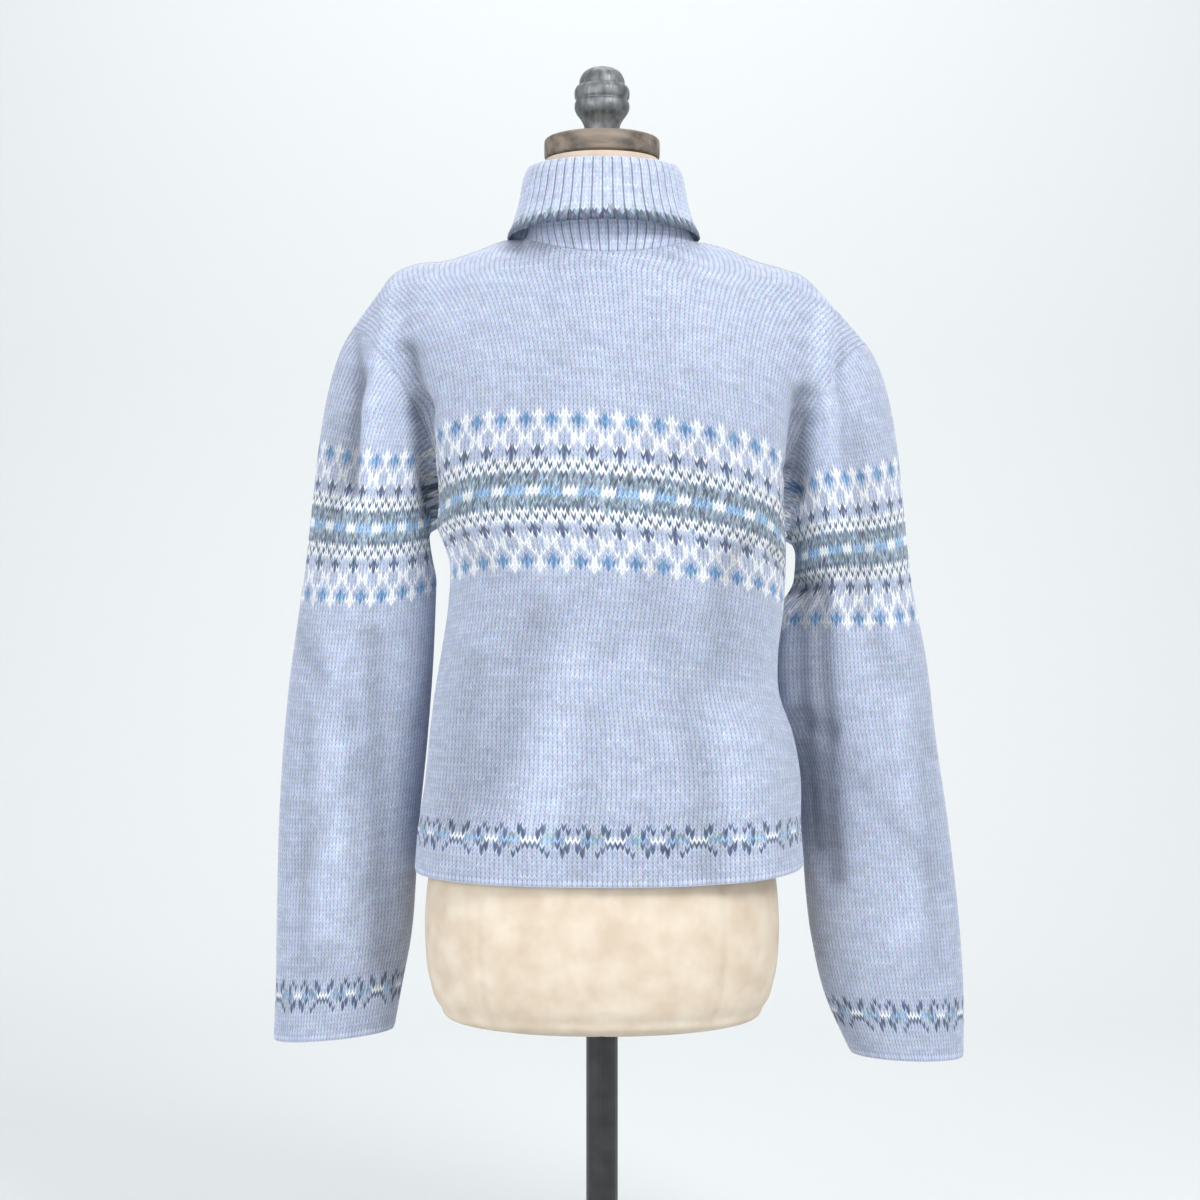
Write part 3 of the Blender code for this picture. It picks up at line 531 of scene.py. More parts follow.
LEG_CROWNS = (("near", 0.27), ("far", 0.74))     # where a leg's two high points lie along it
LEG_JITTER = 0.02        # how unevenly the high points lie along a wale, in courses
CROWN_LOW, CROWN_HIGH = 0.86, 1.10               # how unevenly high the crowns stand
# painted highlight: a leg's far high point is painted a little lighter
FAR_CROWN_HIGHLIGHT = 1.02
WHITE_FROM, WHITE_SPAN = 0.70, 0.15              # red share from which a yarn counts as white
EDGE_GLOW = 0.6          # share of that lightening that reaches the painted shade between stitches
RIDGE_LIGHT = -0.3       # painted light on ridges: where they stop getting lighter, on the scale of the folds' painted shade

# Each yarn's colour, and how unevenly it is spun: the blues and greys are marled with other strands.
YARNS = {
    ".": ((0.575, 0.640, 0.800), 0.07),
    "w": ((0.930, 0.960, 0.980), 0.03),
    "s": ((0.360, 0.540, 0.780), 0.24),
    "b": ((0.190, 0.365, 0.600), 0.20),
    "n": ((0.150, 0.195, 0.300), 0.22),
    "g": ((0.290, 0.360, 0.440), 0.42),
    "m": ((0.420, 0.520, 0.560), 0.30),
    "i": ((0.120, 0.150, 0.210), 0.25),
}
LAVENDER = np.array(YARNS["."][0])
STREAK_WALES = 9         # the heather runs in streaks along the courses
STREAK_DEPTH = 0.042
CLOUD_DEPTH = 0.05
CLOUDS = ((5, 0.5), (13, 0.3), (37, 0.2))        # cells across a noise's coarse grids, and their weights
STRAND_LOW, STRAND_HIGH = -1.3, 1.7              # how far an uneven yarn goes darker and lighter
TINT = 0.018
DARKEST = 0.02

# The band from its middle out to a peak's tip. Each row repeats along its course, and its first
# sign stands over a navy cross and a white peak.
BAND = (
    "ssssswww", "ggmgg", "mgggg", "nggg", "wwgw", "wn", "gwww",
    "n.....", "nn...n", "nw...w", "..w.w.", "..www.", "..w.w.", ".w...w",
    "w..b..", "w.bbb.", "ww.b.w", "w.....",
)


def band_stitch(row, column):
    """The yarn of a stitch in the band: row counts out from the middle, column from a cross."""
    return BAND[row][column % len(BAND[row])] if row < len(BAND) else "."


BORDER_PERIOD = 17
BORDER_FROM = 6
# Seven courses of the hem and cuff border from the bottom up, from the middle of a short white
# run (the first sign) to the middle of the next long one; the other half is its mirror.
BORDER = (
    "..n..n...",
    ".nn...n..",
    ".n.nm..nn",
    "wwsssssww",
    "...nmm.n.",
    ".n.n..nn.",
    "..n...n..",
)


def border_stitch(row, column, shift):
    """The yarn of a stitch in the hem or cuff border, counted from its lowest course."""
    away = (column + shift) % BORDER_PERIOD
    return BORDER[row][min(away, BORDER_PERIOD - away)]


def chart_of(band_middle, band_from, shift):
    """The yarn of every stitch: the border low down, and the band mirrored about its middle."""
    def chart(row, column):
        if BORDER_FROM <= row < BORDER_FROM + len(BORDER):
            return border_stitch(row - BORDER_FROM, column, shift)
        out = row - band_middle if row >= band_middle else band_middle - 1 - row
        return band_stitch(out, column - band_from)
    return chart


def lookup(grid, row, column, closed=False):
    """Values between a grid's points, at fractional rows and columns."""
    row, column = np.broadcast_arrays(row, column)
    rows, columns = grid.shape[:2]
    row = np.clip(row, 0, rows - 1)
    r = np.minimum(row.astype(int), rows - 2)
    if closed:
        c = np.floor(column).astype(int)
    else:
        column = np.clip(column, 0, columns - 1)
        c = np.minimum(column.astype(int), columns - 2)
    fr, fc = (row - r)[..., None], (column - c)[..., None]
    c, after = c % columns, (c + 1) % columns
    return ((grid[r, c] * (1 - fc) + grid[r, after] * fc) * (1 - fr)
            + (grid[r + 1, c] * (1 - fc) + grid[r + 1, after] * fc) * fr)


def noise(seed, shape):
    """Smooth noise on a grid, from -1 to 1: a few coarse random grids, blended."""
    random = np.random.default_rng(seed)
    total = np.zeros(shape)
    for cells, weight in CLOUDS:
        coarse = random.uniform(-1, 1, (cells + 1, cells + 1, 1))
        places = [np.linspace(0, cells - 1e-6, count) for count in shape]
        row, column = (at // 1 + ease(at % 1) for at in places)
        total += weight * lookup(coarse, row[:, None], column)[..., 0]
    return total


def colours(rows, wales, chart, seed):
    """Colour of each stitch's two legs: the chart's yarn, heathered."""
    random = np.random.default_rng(seed)
    yarns = [[YARNS[chart(i, j)] for j in range(wales)] for i in range(rows)]
    base = np.array([[colour for colour, uneven in row] for row in yarns])[:, :, None, :]
    uneven = np.array([[uneven for colour, uneven in row] for row in yarns])[:, :, None, None]
    cloud = noise(seed, (rows, wales))[:, :, None, None]
    kernel = np.hanning(STREAK_WALES)
    kernel /= np.linalg.norm(kernel)
    loose = random.normal(0, 1, (rows, wales + STREAK_WALES - 1))
    streak = np.array([np.convolve(line, kernel, "valid") for line in loose])[:, :, None, None]
    strands = random.uniform(STRAND_LOW, STRAND_HIGH, (rows, wales, 2, 1))
    value = 1 + CLOUD_DEPTH * cloud + STREAK_DEPTH * streak + uneven * strands
    return np.clip(base * value + random.normal(0, TINT, (rows, wales, 2, 3)), DARKEST, 1)


def unit(vectors):
    return vectors / np.maximum(np.linalg.norm(vectors, axis=-1, keepdims=True), 1e-12)


def lengths_along(points, axis=0):
    """The distance covered from the first point, along one axis of a grid of points."""
    steps = np.linalg.norm(np.diff(points, axis=axis), axis=-1)
    start = np.zeros_like(np.take(steps, [0], axis=axis))
    return np.concatenate([start, np.cumsum(steps, axis=axis)], axis=axis)


def add_object(name, data):
    made = bpy.data.objects.new(name, data)
    bpy.context.scene.collection.objects.link(made)
    return made


NO_AREA = 2e-10          # triangles with a smaller cross product than this are left out


def write_mesh(name, points, triangles, corner_colours, finish):
    """A mesh object from arrays, with a colour for every corner, which carries the painted shade and
    highlights.
    """
    a, b, c = (points[triangles[:, k]] for k in range(3))
    keep = np.linalg.norm(np.cross(b - a, c - a), axis=1) > NO_AREA
    triangles, corner_colours = triangles[keep], corner_colours[keep]
    used, inverse = np.unique(triangles, return_inverse=True)
    points, triangles = points[used], inverse.reshape(triangles.shape)
    mesh = bpy.data.meshes.new(name)
    mesh.vertices.add(len(points))
    mesh.vertices.foreach_set("co", points.astype(np.float32).ravel())
    count = len(triangles)
    mesh.loops.add(3 * count)
    mesh.loops.foreach_set("vertex_index", triangles.astype(np.int32).ravel())
    mesh.polygons.add(count)
    mesh.polygons.foreach_set("loop_start", np.arange(0, 3 * count, 3, dtype=np.int32))
    mesh.update(calc_edges=True)
    mesh.validate()
    mesh.shade_smooth()
    shade = mesh.color_attributes.new("yarn", "FLOAT_COLOR", "CORNER")
    rgba = np.ones((3 * count, 4), np.float32)
    rgba[:, :3] = corner_colours.reshape(-1, 3)
    shade.data.foreach_set("color", rgba.ravel())
    mesh.materials.append(finish)
    return add_object(name, mesh)


def stitches(points, normals, wales, rows, legs, turned, closed, relief, seed, heights=None, sink=1.0,
             wale_edges=None, sewn=True, gap_shades=KNIT_GAP_SHADES, slant=SLANT):
    """Arrays of a knitted face. The lattices have two columns a wale and two rows a course.

    Each leg of a stitch is a slanting grain: four low corners in painted shade and two high points on its
    crown.
    """
    random = np.random.default_rng(seed)
    edges = np.arange(wales + 1.0) if wale_edges is None else wale_edges
    middles, half = (edges[:-1] + edges[1:]) / 2, (edges[1:] - edges[:-1]) / 2
    up, down = heights or (np.full(wales, YARN_UP), np.full(wales + 1, YARN_DOWN))
    bounds = wales + sewn

    def place(u, v, height):
        u, v, height = np.broadcast_arrays(u, v, height)
        height = height * np.interp(v, np.arange(len(relief)), relief)
        at = lookup(points, 2 * v, 2 * u, closed)
        return at + unit(lookup(normals, 2 * v, 2 * u, closed)) * height[..., None]

    course = np.arange(rows + 1.0)[:, None]
    centre = place(middles, course, up - (YARN_UP - YARN_DOWN) * sink)
    bound = place(edges[:bounds], np.where(course == 0, 0, course + slant), down[:bounds])
    pieces = [centre.reshape(-1, 3), bound.reshape(-1, 3)]
    row, wale = np.arange(rows)[:, None], np.arange(wales)[None, :]
    first, count = len(pieces[0]), len(pieces[0]) + len(pieces[1])
    crowns = {}
    for leg, side in ((0, -1), (1, 1)):
        for spot, share in LEG_CROWNS:
            v = row + 0.5 + slant * share + random.normal(0, LEG_JITTER, (rows, wales))
            crown = up * random.uniform(CROWN_LOW, CROWN_HIGH, (rows, wales))
            pieces.append(place(middles + side * half * share, v, crown).reshape(-1, 3))
            crowns[leg, spot] = count + row * wales + wale
            count += rows * wales
    low = row * wales + wale
    kept = np.linalg.norm(np.diff(centre, axis=0), axis=-1) > SHORTEST
    triangles, shades = [], []
    for leg in (0, 1):
        outer = first + row * bounds + (wale + leg) % bounds
        colour = legs[:, :, leg, :]
        # The low corners are painted darker as shade: where the legs part and between stitches, less so for
        # white yarn.
        glow = WHITE_GLOW * ease((colour[..., :1] - WHITE_FROM) / WHITE_SPAN)
        hole, edge = colour * (gap_shades[0] + glow), colour * (gap_shades[1] + glow * EDGE_GLOW)
        corners = {"a": (low, hole), "b": (low + wales, hole),
                   "c": (outer + bounds, edge), "d": (outer, edge),
                   "p": (crowns[leg, "near"], colour),
                   "q": (crowns[leg, "far"], colour * FAR_CROWN_HIGHLIGHT)}
        for trio in ("abp", "bcq", "bqp", "cdq", "dap", "dpq"):
            trio = trio[::-1] if turned != (leg == 1) else trio
            triangles.append(np.stack([corners[k][0][kept] for k in trio], axis=-1))
            shades.append(np.stack([corners[k][1][kept] for k in trio], axis=1))
    return np.concatenate(pieces), np.concatenate(triangles), np.concatenate(shades)


def joined(parts):
    """Several (points, triangles, shades) as one."""
    points, triangles, shades, count = [], [], [], 0
    for p, t, s in parts:
        points.append(p)
        triangles.append(t + count)
        shades.append(s)
        count += len(p)
    return np.concatenate(points), np.concatenate(triangles), np.concatenate(shades)


def plain(points, turned, colour):
    """A plain grid of points as arrays, in one colour, with two triangles for each cell."""
    cells = np.array([*strips(*points.shape[:2], False)])
    faces = np.concatenate([cells[:, [0, 1, 2]], cells[:, [0, 2, 3]]])
    if turned:
        faces = faces[:, ::-1]
    return points.reshape(-1, 3), faces, np.broadcast_to(colour, (len(faces), 3, 3))


# Surfaces
COARSE = {
    "back": {"points": panel_grid(-1), "closed": False, "outward": 1},
    "front": {"points": panel_grid(1), "closed": False, "outward": -1},
    "sleeve_left": {"points": sleeve_grid(-1), "closed": True, "outward": -1},
    "sleeve_right": {"points": sleeve_grid(1), "closed": True, "outward": 1},
}
shared_normals(COARSE)


def panel_normals(name, s, t):
    """Normals of the solids' own grid at places between its points."""
    row = np.where(t <= 1, t * LOWER_ROWS, LOWER_ROWS + (t - 1) * YOKE_ROWS)
    return unit(lookup(COARSE[name]["normals"], row, (s + 1) / 2 * COLUMNS))


def along(lengths, wanted):
    """Fractional index at which each wanted length is reached, a column at a time."""
    index = np.arange(len(lengths))
    columns = [np.interp(wanted[:, k], lengths[:, k], index) for k in range(lengths.shape[1])]
    return np.stack(columns, axis=1)


# Height of the band's middle on the panels. columns: share across, from -1 to 1; height
BAND_HEIGHT = {
    "back": ((-1.00, 0.0710), (-0.75, 0.0805), (-0.50, 0.0880), (-0.25, 0.0900), (0.00, 0.0872),
             (0.25, 0.0807), (0.50, 0.0716), (0.75, 0.0583), (1.00, 0.0400)),
    "front": ((-1.00, 0.0710), (-0.60, 0.0850), (0.00, 0.0890), (0.60, 0.0740), (1.00, 0.0400)),
}
FINE = 241               # points across a panel's smooth surface
FINE_ROWS = 4 * FINE
SPREAD = 12              # columns of the fine grid over which a yoke's kinks are evened out
EVEN_IN, EVEN_OUT = 0.30, 0.22       # shares of the yoke's rise over which that fades in and out


def evened(grid, t):
    """The kinks below the neck's corners smoothed away, with every edge left where it is."""
    weights = np.hanning(2 * SPREAD + 3)[1:-1]
    weights /= weights.sum()
    before = 2 * grid[:, :1] - grid[:, SPREAD:0:-1]
    after = 2 * grid[:, -1:] - grid[:, -2:-SPREAD - 2:-1]
    wide = np.concatenate([before, grid, after], axis=1)
    blurred = sum(weight * wide[:, k:k + grid.shape[1]] for k, weight in enumerate(weights))
    share = ease((t - 1) / EVEN_IN) * ease((2 - t) / EVEN_OUT)
    return grid + (blurred - grid) * share[:, None, None]


def smooth_panel(side):
    """A fine grid of one panel's outer face, with the yoke's kinks evened out."""
    t = np.linspace(0, 2, FINE_ROWS)
    return evened(panel(side, np.linspace(-1, 1, FINE)[None, :], t[:, None]), t)


SMOOTH = {"back": smooth_panel(-1), "front": smooth_panel(1)}


def on_panel(name, s, t):
    """Points and normals of a panel's smooth surface."""
    points = lookup(SMOOTH[name], t / 2 * (FINE_ROWS - 1), (s + 1) / 2 * (FINE - 1))
    return points, panel_normals(name, s, t)


def panel_lattice(name):
    """Half-stitch lattice of a panel: even stitches along each course, courses up each wale."""
    s = np.linspace(-1, 1, FINE)
    grid = SMOOTH[name]
    lengths = lengths_along(grid)
    band = read_off(BAND_HEIGHT[name], s)[..., 0]
    middle = np.array([np.interp(band[k], grid[:, k, 2], lengths[:, k]) for k in range(FINE)])
    v = np.arange(0, ROWS + SLANT + 1, 0.5)[:, None]
    wanted = np.where(v < BAND_MIDDLE, v / BAND_MIDDLE * middle, middle + (v - BAND_MIDDLE) * ROW_PITCH)
    at = along(lengths, wanted)
    run = lengths_along(lookup(grid, at, np.arange(float(FINE))), axis=1)
    u = np.linspace(0, 1, 2 * WALES + 1)
    s_at = np.array([np.interp(u * run[k, -1], run[k], s) for k in range(len(v))])
    t_at = np.array([np.interp(s_at[k], s, at[k]) for k in range(len(v))]) / (FINE_ROWS - 1) * 2
    return on_panel(name, s_at, t_at)


# The band's middle on each sleeve, on its inner line, half way round and on its outer line: its
# height, and then how far each course rises.
SLEEVE_BAND_PLACE = {
    "sleeve_left": ((0.0665, 0.0600, 0.0670), (0.00349, 0.00380, 0.00406)),
    "sleeve_right": ((0.0345, 0.0427, 0.0512), (0.00350, 0.00396, 0.00414)),
}
LEAST_STEP, MOST_STEP = 0.3, 0.7     # bounds of a half course's height, in pitches


def sleeve_courses(name, v, around, heights, lengths):
    """Distance from the cuff of every half course, so that the band lies where the photo has it."""
    turn = np.cos(around * 2 * HALF_TURN)
    middle, rise = (side_to_side(*three, turn) for three in SLEEVE_BAND_PLACE[name])
    first, last = SLEEVE_BAND - len(BAND), SLEEVE_BAND + len(BAND)
    course = np.minimum(v, last)[:, None]
    level = middle + (course - SLEEVE_BAND) * rise
    cuff = heights[0]
    below = cuff + (middle - len(BAND) * rise - cuff) * course / first
    level = np.where(course < first, below, level)
    rising = np.maximum.accumulate(heights, axis=0)
    reached = np.stack([np.interp(level[:, k], rising[:, k], lengths[:, k]) for k in range(len(around))], 1)
    reached += np.maximum(v - last, 0)[:, None] * SLEEVE_PITCH
    steps = np.clip(np.diff(reached, axis=0), LEAST_STEP * SLEEVE_PITCH, MOST_STEP * SLEEVE_PITCH)
    return np.vstack([reached[:1], reached[0] + np.cumsum(steps, axis=0)])


TOWARD_BODY = 0.015      # how far the right sleeve's inner side is moved toward the body
TOUCH_TOP, TOUCH_FOOT = 0.018, -0.165            # heights between which it lies there
TOUCH_IN, TOUCH_OUT = 0.035, 0.075               # heights over which that fades in and out


def against_body(grid, around):
    """The right sleeve's inner side, which lies against the body below the armpit."""
    inner = (1 - np.cos(around * 2 * HALF_TURN)) / 2
    height = ease((TOUCH_TOP - grid[..., 2]) / TOUCH_IN) * ease((grid[..., 2] - TOUCH_FOOT) / TOUCH_OUT)
    moved = grid.copy()
    moved[..., 0] -= TOWARD_BODY * inner ** 2 * height
    return moved


RING_POINTS = 721        # points round the oval on which a sleeve's stitches are spaced
RING_AT = 0.3            # how far down the arm that oval lies


def sleeve_lattice(name):
    """Half-stitch lattice of a sleeve, from the cuff up, starting at the underarm line."""
    hand = -1 if name == "sleeve_left" else 1
    angle = np.linspace(0, 2 * HALF_TURN, RING_POINTS)
    run = lengths_along(oval(sleeve_table(hand), np.full_like(angle, RING_AT), angle))
    u = (np.linspace(0, 1, 2 * SLEEVE_WALES + 1) + 0.5) % 1
    around = np.interp(u * run[-1], run, angle) / (2 * HALF_TURN)
    down = np.linspace(2, 0, FINE_ROWS)
    grid = sleeve_surface(hand, around, down[:, None])
    if hand > 0:
        grid = against_body(grid, around)
    lengths = lengths_along(grid)
    v = np.arange(0, SLEEVE_ROWS + SLANT + 1, 0.5)
    at = along(lengths, sleeve_courses(name, v, around, grid[..., 2], lengths))
    points = lookup(grid, at, np.arange(float(len(around))))
    along_it = np.interp(at, np.arange(len(down)), down)
    coarse_row = np.where(along_it <= 1, along_it * SLEEVE_CAP_ROWS,
                          SLEEVE_CAP_ROWS + (along_it - 1) * SLEEVE_ARM_ROWS)
    normals = lookup(COARSE[name]["normals"], coarse_row, around * 2 * YOKE_ROWS, closed=True)
    return points, unit(normals)


def lift(points):
    return points + np.array([0.0, 0.0, CHEST_LINE])


EDGE_POINTS = 6          # points round the turned edge
EDGE_REACH = 0.45        # how far the edge stands out beyond the last course, in wall thicknesses
# painted shade on the rolled edge: its lavender is darkened by this share
EDGE_SHADE = 0.86
# painted shade on the wrong side, inside the garment: its lavender is darkened by this share
LINING_SHADE = 0.62


def edge_roll(points, normals, turned):
    """The rounded edge of a hem, cuff or neck: from the outer face round to the inner one."""
    beyond = unit(points[0] - points[2])
    ring = [points[0] - normals[0] * WALL / 2 * (1 - np.cos(turn)) + beyond * WALL * EDGE_REACH * np.sin(turn)
            + normals[0] * YARN_DOWN * np.cos(turn) for turn in np.linspace(0, HALF_TURN, EDGE_POINTS)]
    return plain(np.array(ring)[:, ::2], not turned, LAVENDER * EDGE_SHADE)


LINING_STEP = 6          # the wrong side is a coarser sheet than the stitches, below every fold


def wrong_side(points, normals, depth):
    """The inner face: as deep as the deepest fold near each of its points, so it never shows."""
    near = np.pad(depth, LINING_STEP, mode="edge")
    size = 2 * LINING_STEP + 1
    deepest = np.lib.stride_tricks.sliding_window_view(near, (size, size)).max(axis=(2, 3))
    return (points - normals * (WALL + np.maximum(deepest, 0))[..., None])[::LINING_STEP, ::LINING_STEP]


def knit_piece(name, lattice, turned, seed, wales, rows, chart, closed, yarn):
    """One knitted piece: its stitches pressed into the folds and painted darker there as shade, its wrong
    side and its turned edge.
    """
    points, normals = lattice
    depth = folds_on(points, normals)
    inner = wrong_side(points, normals, depth)
    points = points - normals * depth[..., None]
    # Painted shade by fold depth, darker in the troughs, with painted light on the ridges.
    fold = np.clip(depth[1:2 * rows:2, 1:2 * wales:2] / DEEP, RIDGE_LIGHT, 1)
    legs = colours(rows, wales, chart, seed) * (1 - FOLD_SHADE * fold)[:, :, None, None]
    face = stitches(points, normals, wales, rows, legs, turned, closed, np.full(rows + 3, yarn), seed)
    parts = [face, plain(inner, not turned, LAVENDER * LINING_SHADE), edge_roll(points, normals, turned)]
    all_points, triangles, shades = joined(parts)
    return write_mesh(name, lift(all_points), triangles, shades, WOOL)


# Materials
def fill(node, values):
    """Puts values into a node's inputs by their names."""
    for name, value in values.items():
        node.inputs[name].default_value = value


def new_material(name, looks):
    """A material, its tree and its shader, with the shader's inputs filled in."""
    made = bpy.data.materials.new(name)
    made.use_nodes = True
    shader = made.node_tree.nodes["Principled BSDF"]
    fill(shader, looks)
    return made, made.node_tree, shader


def add_node(tree, kind, values=(), **settings):
    """A node with its settings and then its inputs filled in."""
    made = tree.nodes.new("ShaderNode" + kind)
    for name, value in settings.items():
        setattr(made, name, value)
    fill(made, dict(values))
    return made


def add_ramp(tree, places, colours_at):
    ramp = add_node(tree, "ValToRGB")
    for stop, place, colour in zip(ramp.color_ramp.elements, places, colours_at):
        stop.position = place
        stop.color = (*colour, 1)
    return ramp


def wire(tree, *ways):
    """Links, each from a node's output to a node's input."""
    for source, output, target, entry in ways:
        tree.links.new(source.outputs[output], target.inputs[entry])


def wool_material():
    """Yarn colour from the stitches, with their painted shade and highlights, flecked by fibres, with a soft
    halo at grazing angles.
    """
    made, tree, shader = new_material("wool_yarn", {"Roughness": 0.96, "Specular IOR Level": 0.15,
                                                    "Sheen Weight": 0.25, "Sheen Roughness": 0.6})
    yarn = add_node(tree, "VertexColor", layer_name="yarn")
    place = add_node(tree, "TexCoord")
    fleck = add_node(tree, "TexNoise", {"Scale": 900, "Detail": 3})
    spread = add_node(tree, "MapRange", {"From Min": 0.3, "From Max": 0.7, "To Min": 0.84, "To Max": 1.14})
    product = {"values": {"Factor": 1.0}, "data_type": "RGBA", "blend_type": "MULTIPLY"}
    flecked, tinted = add_node(tree, "Mix", **product), add_node(tree, "Mix", **product)
    heather = add_node(tree, "TexNoise", {"Scale": 210, "Detail": 2})
    tint = add_ramp(tree, (0.35, 0.65), ((0.95, 0.97, 1.02), (1.03, 1.02, 1.00)))
    bump = add_node(tree, "Bump", {"Strength": 0.55, "Distance": 0.0004})
    wire(tree, (place, "Object", fleck, "Vector"), (place, "Object", heather, "Vector"),
         (fleck, "Fac", spread, "Value"), (yarn, "Color", flecked, "A"), (spread, "Result", flecked, "B"),
         (heather, "Fac", tint, "Fac"), (flecked, "Result", tinted, "A"), (tint, "Color", tinted, "B"),
         (tinted, "Result", shader, "Base Color"), (fleck, "Fac", bump, "Height"),
         (bump, "Normal", shader, "Normal"))
    return made


def noisy_material(name, low, high, scale, stretch, roughness, metallic, bump_depth, bump_strength):
    """Two tones blended by a stretched noise, with a matching bump."""
    made, tree, shader = new_material(name, {"Roughness": roughness, "Metallic": metallic})
    place = add_node(tree, "TexCoord")
    mapping = add_node(tree, "Mapping", {"Scale": stretch})
    pattern = add_node(tree, "TexNoise", {"Scale": scale, "Detail": 6})
    ramp = add_ramp(tree, (0.32, 0.68), (low, high))
    bump = add_node(tree, "Bump", {"Strength": bump_strength, "Distance": bump_depth})
    wire(tree, (place, "Object", mapping, "Vector"), (mapping, "Vector", pattern, "Vector"),
         (pattern, "Fac", ramp, "Fac"), (ramp, "Color", shader, "Base Color"),
         (pattern, "Fac", bump, "Height"), (bump, "Normal", shader, "Normal"))
    return made


def weave_material():
    """Plain-woven cream cover: crossed threads as bump and a faint tone."""
    made, tree, shader = new_material("form_linen", {"Roughness": 0.9})
    place = add_node(tree, "TexCoord")
    total = add_node(tree, "Math", operation="ADD")
    cloud = add_node(tree, "TexNoise", {"Scale": 40})
    ramp = add_ramp(tree, (0.3, 0.7), ((0.66, 0.54, 0.41), (0.78, 0.68, 0.55)))
    bump = add_node(tree, "Bump", {"Strength": 0.35, "Distance": 0.0003})
    for entry, direction in enumerate("XZ"):
        thread = add_node(tree, "TexWave", {"Scale": 320, "Distortion": 1.2, "Detail": 1.0},
                          bands_direction=direction)
        wire(tree, (place, "Object", thread, "Vector"), (thread, "Fac", total, entry))
    wire(tree, (place, "Object", cloud, "Vector"), (cloud, "Fac", ramp, "Fac"),
         (ramp, "Color", shader, "Base Color"), (total, "Value", bump, "Height"),
         (bump, "Normal", shader, "Normal"))
    return made


WOOL = wool_material()
LINEN = weave_material()
WOOD = noisy_material("neck_wood", (0.085, 0.066, 0.050), (0.27, 0.215, 0.165), 14, (1, 9, 9), 0.50, 0.0,
                      0.0002, 0.25)
CAST = noisy_material("cast_iron", (0.10, 0.105, 0.11), (0.30, 0.31, 0.31), 160, (1, 1, 0.35), 0.5, 0.75,
                      0.0006, 0.5)
PAINT = noisy_material("black_paint", (0.012, 0.012, 0.013), (0.03, 0.03, 0.032), 60, (1, 1, 1), 0.38, 0.0,
                       0.0002, 0.2)


# The five knitted pieces. Each has its own seed for what is random.
BODY_SHIFT, SLEEVE_SHIFT = 5, 4      # wales by which the border is moved along the hem and the cuff
SLEEVE_YARN = 0.82       # the sleeves' stitches are narrower, so they stand out less
PANEL = {"wales": WALES, "rows": ROWS, "closed": False, "yarn": 1.0,
         "chart": chart_of(BAND_MIDDLE, WALES // 2, BODY_SHIFT)}
SLEEVE = {"wales": SLEEVE_WALES, "rows": SLEEVE_ROWS, "closed": True, "yarn": SLEEVE_YARN,
          "chart": chart_of(SLEEVE_BAND, 0, SLEEVE_SHIFT)}
back = knit_piece("back_knit", panel_lattice("back"), False, 11, **PANEL)
front = knit_piece("front_knit", panel_lattice("front"), True, 12, **PANEL)
left = knit_piece("sleeve_left_knit", sleeve_lattice("sleeve_left"), True, 13, **SLEEVE)
right = knit_piece("sleeve_right_knit", sleeve_lattice("sleeve_right"), False, 14, **SLEEVE)

# The collar
RIB_WALES = 3 * RIB_COUNT
LATTICE_A_RIB = 10
HIDDEN_RELIEF = 0.35     # how much of the ribs' depth is kept where the collar covers itself
ARCH_RISE = 0.0045       # the free edge is arched: higher at the middle of the back and the front
ARCH_SHARES = (0, 0, 0, 0.35, 1.0, 1.0, 0.75, 0.35, 0.1, 0, 0, 0, 0)
FREE_EDGE_RING = 6       # the ring of the lattice at the outside of the free edge
RING_STEPS = 60          # fine steps from one ring of the section to the next
SEAM_STEPS = 40          # steps along the back's neck edge, and as many along the front's
WALE_SHARES = (0.0, 0.41, 0.82)          # where a rib's three wales start, the last one in its groove
WALE_DROPS = (0.0002, -0.0001, 0.0002)   # how much lower than elsewhere the gaps before them lie
# painted shade in the ribs' grooves: the sunk wale's yarn is darkened by this share
GROOVE_SHADE = 0.50
# painted shade on the strip that joins the collar's ends at the neck seam
SEAM_SHADE = 0.50
RIB_SINK = 0.8           # how deep the ribs' gaps lie, as a share of the yarn's height
TIPPING = (-2.4, 0.4, 1.3, 2.4)          # courses above the free edge at which the tipping changes
COLLAR_SEED = 15


def seam_loop(shift_in):
    """The neck seam as a fine ring on the cloth's outer face, moved in along its normals."""
    s = np.linspace(-NECK_SHARE, NECK_SHARE, SEAM_STEPS + 1)
    back_line, front_line = (top_edge(side, s) - panel_normals(name, s, np.full_like(s, 2.0)) * shift_in
                             for name, side in (("back", -1), ("front", 1)))
    ends = [(back_line[0] + front_line[0]) / 2, (back_line[-1] + front_line[-1]) / 2]
    return np.array([ends[0], *back_line[1:-1], ends[1], *front_line[-2:0:-1]])


def on_loop(loop, bearings):
    """The neck seam's points at the given bearings round its middle."""
    middle = (loop[0] + loop[SEAM_STEPS]) / 2
    turned = np.unwrap(np.arctan2(loop[:, 1] - middle[1], loop[:, 0] - middle[0]))
    wanted = turned[0] + (bearings - turned[0]) % (2 * HALF_TURN)
    closed_turn = np.append(turned, turned[0] + 2 * HALF_TURN)
    closed = np.vstack([loop, loop[:1]])
    return np.stack([np.interp(wanted, closed_turn, closed[:, k]) for k in range(3)], axis=-1)


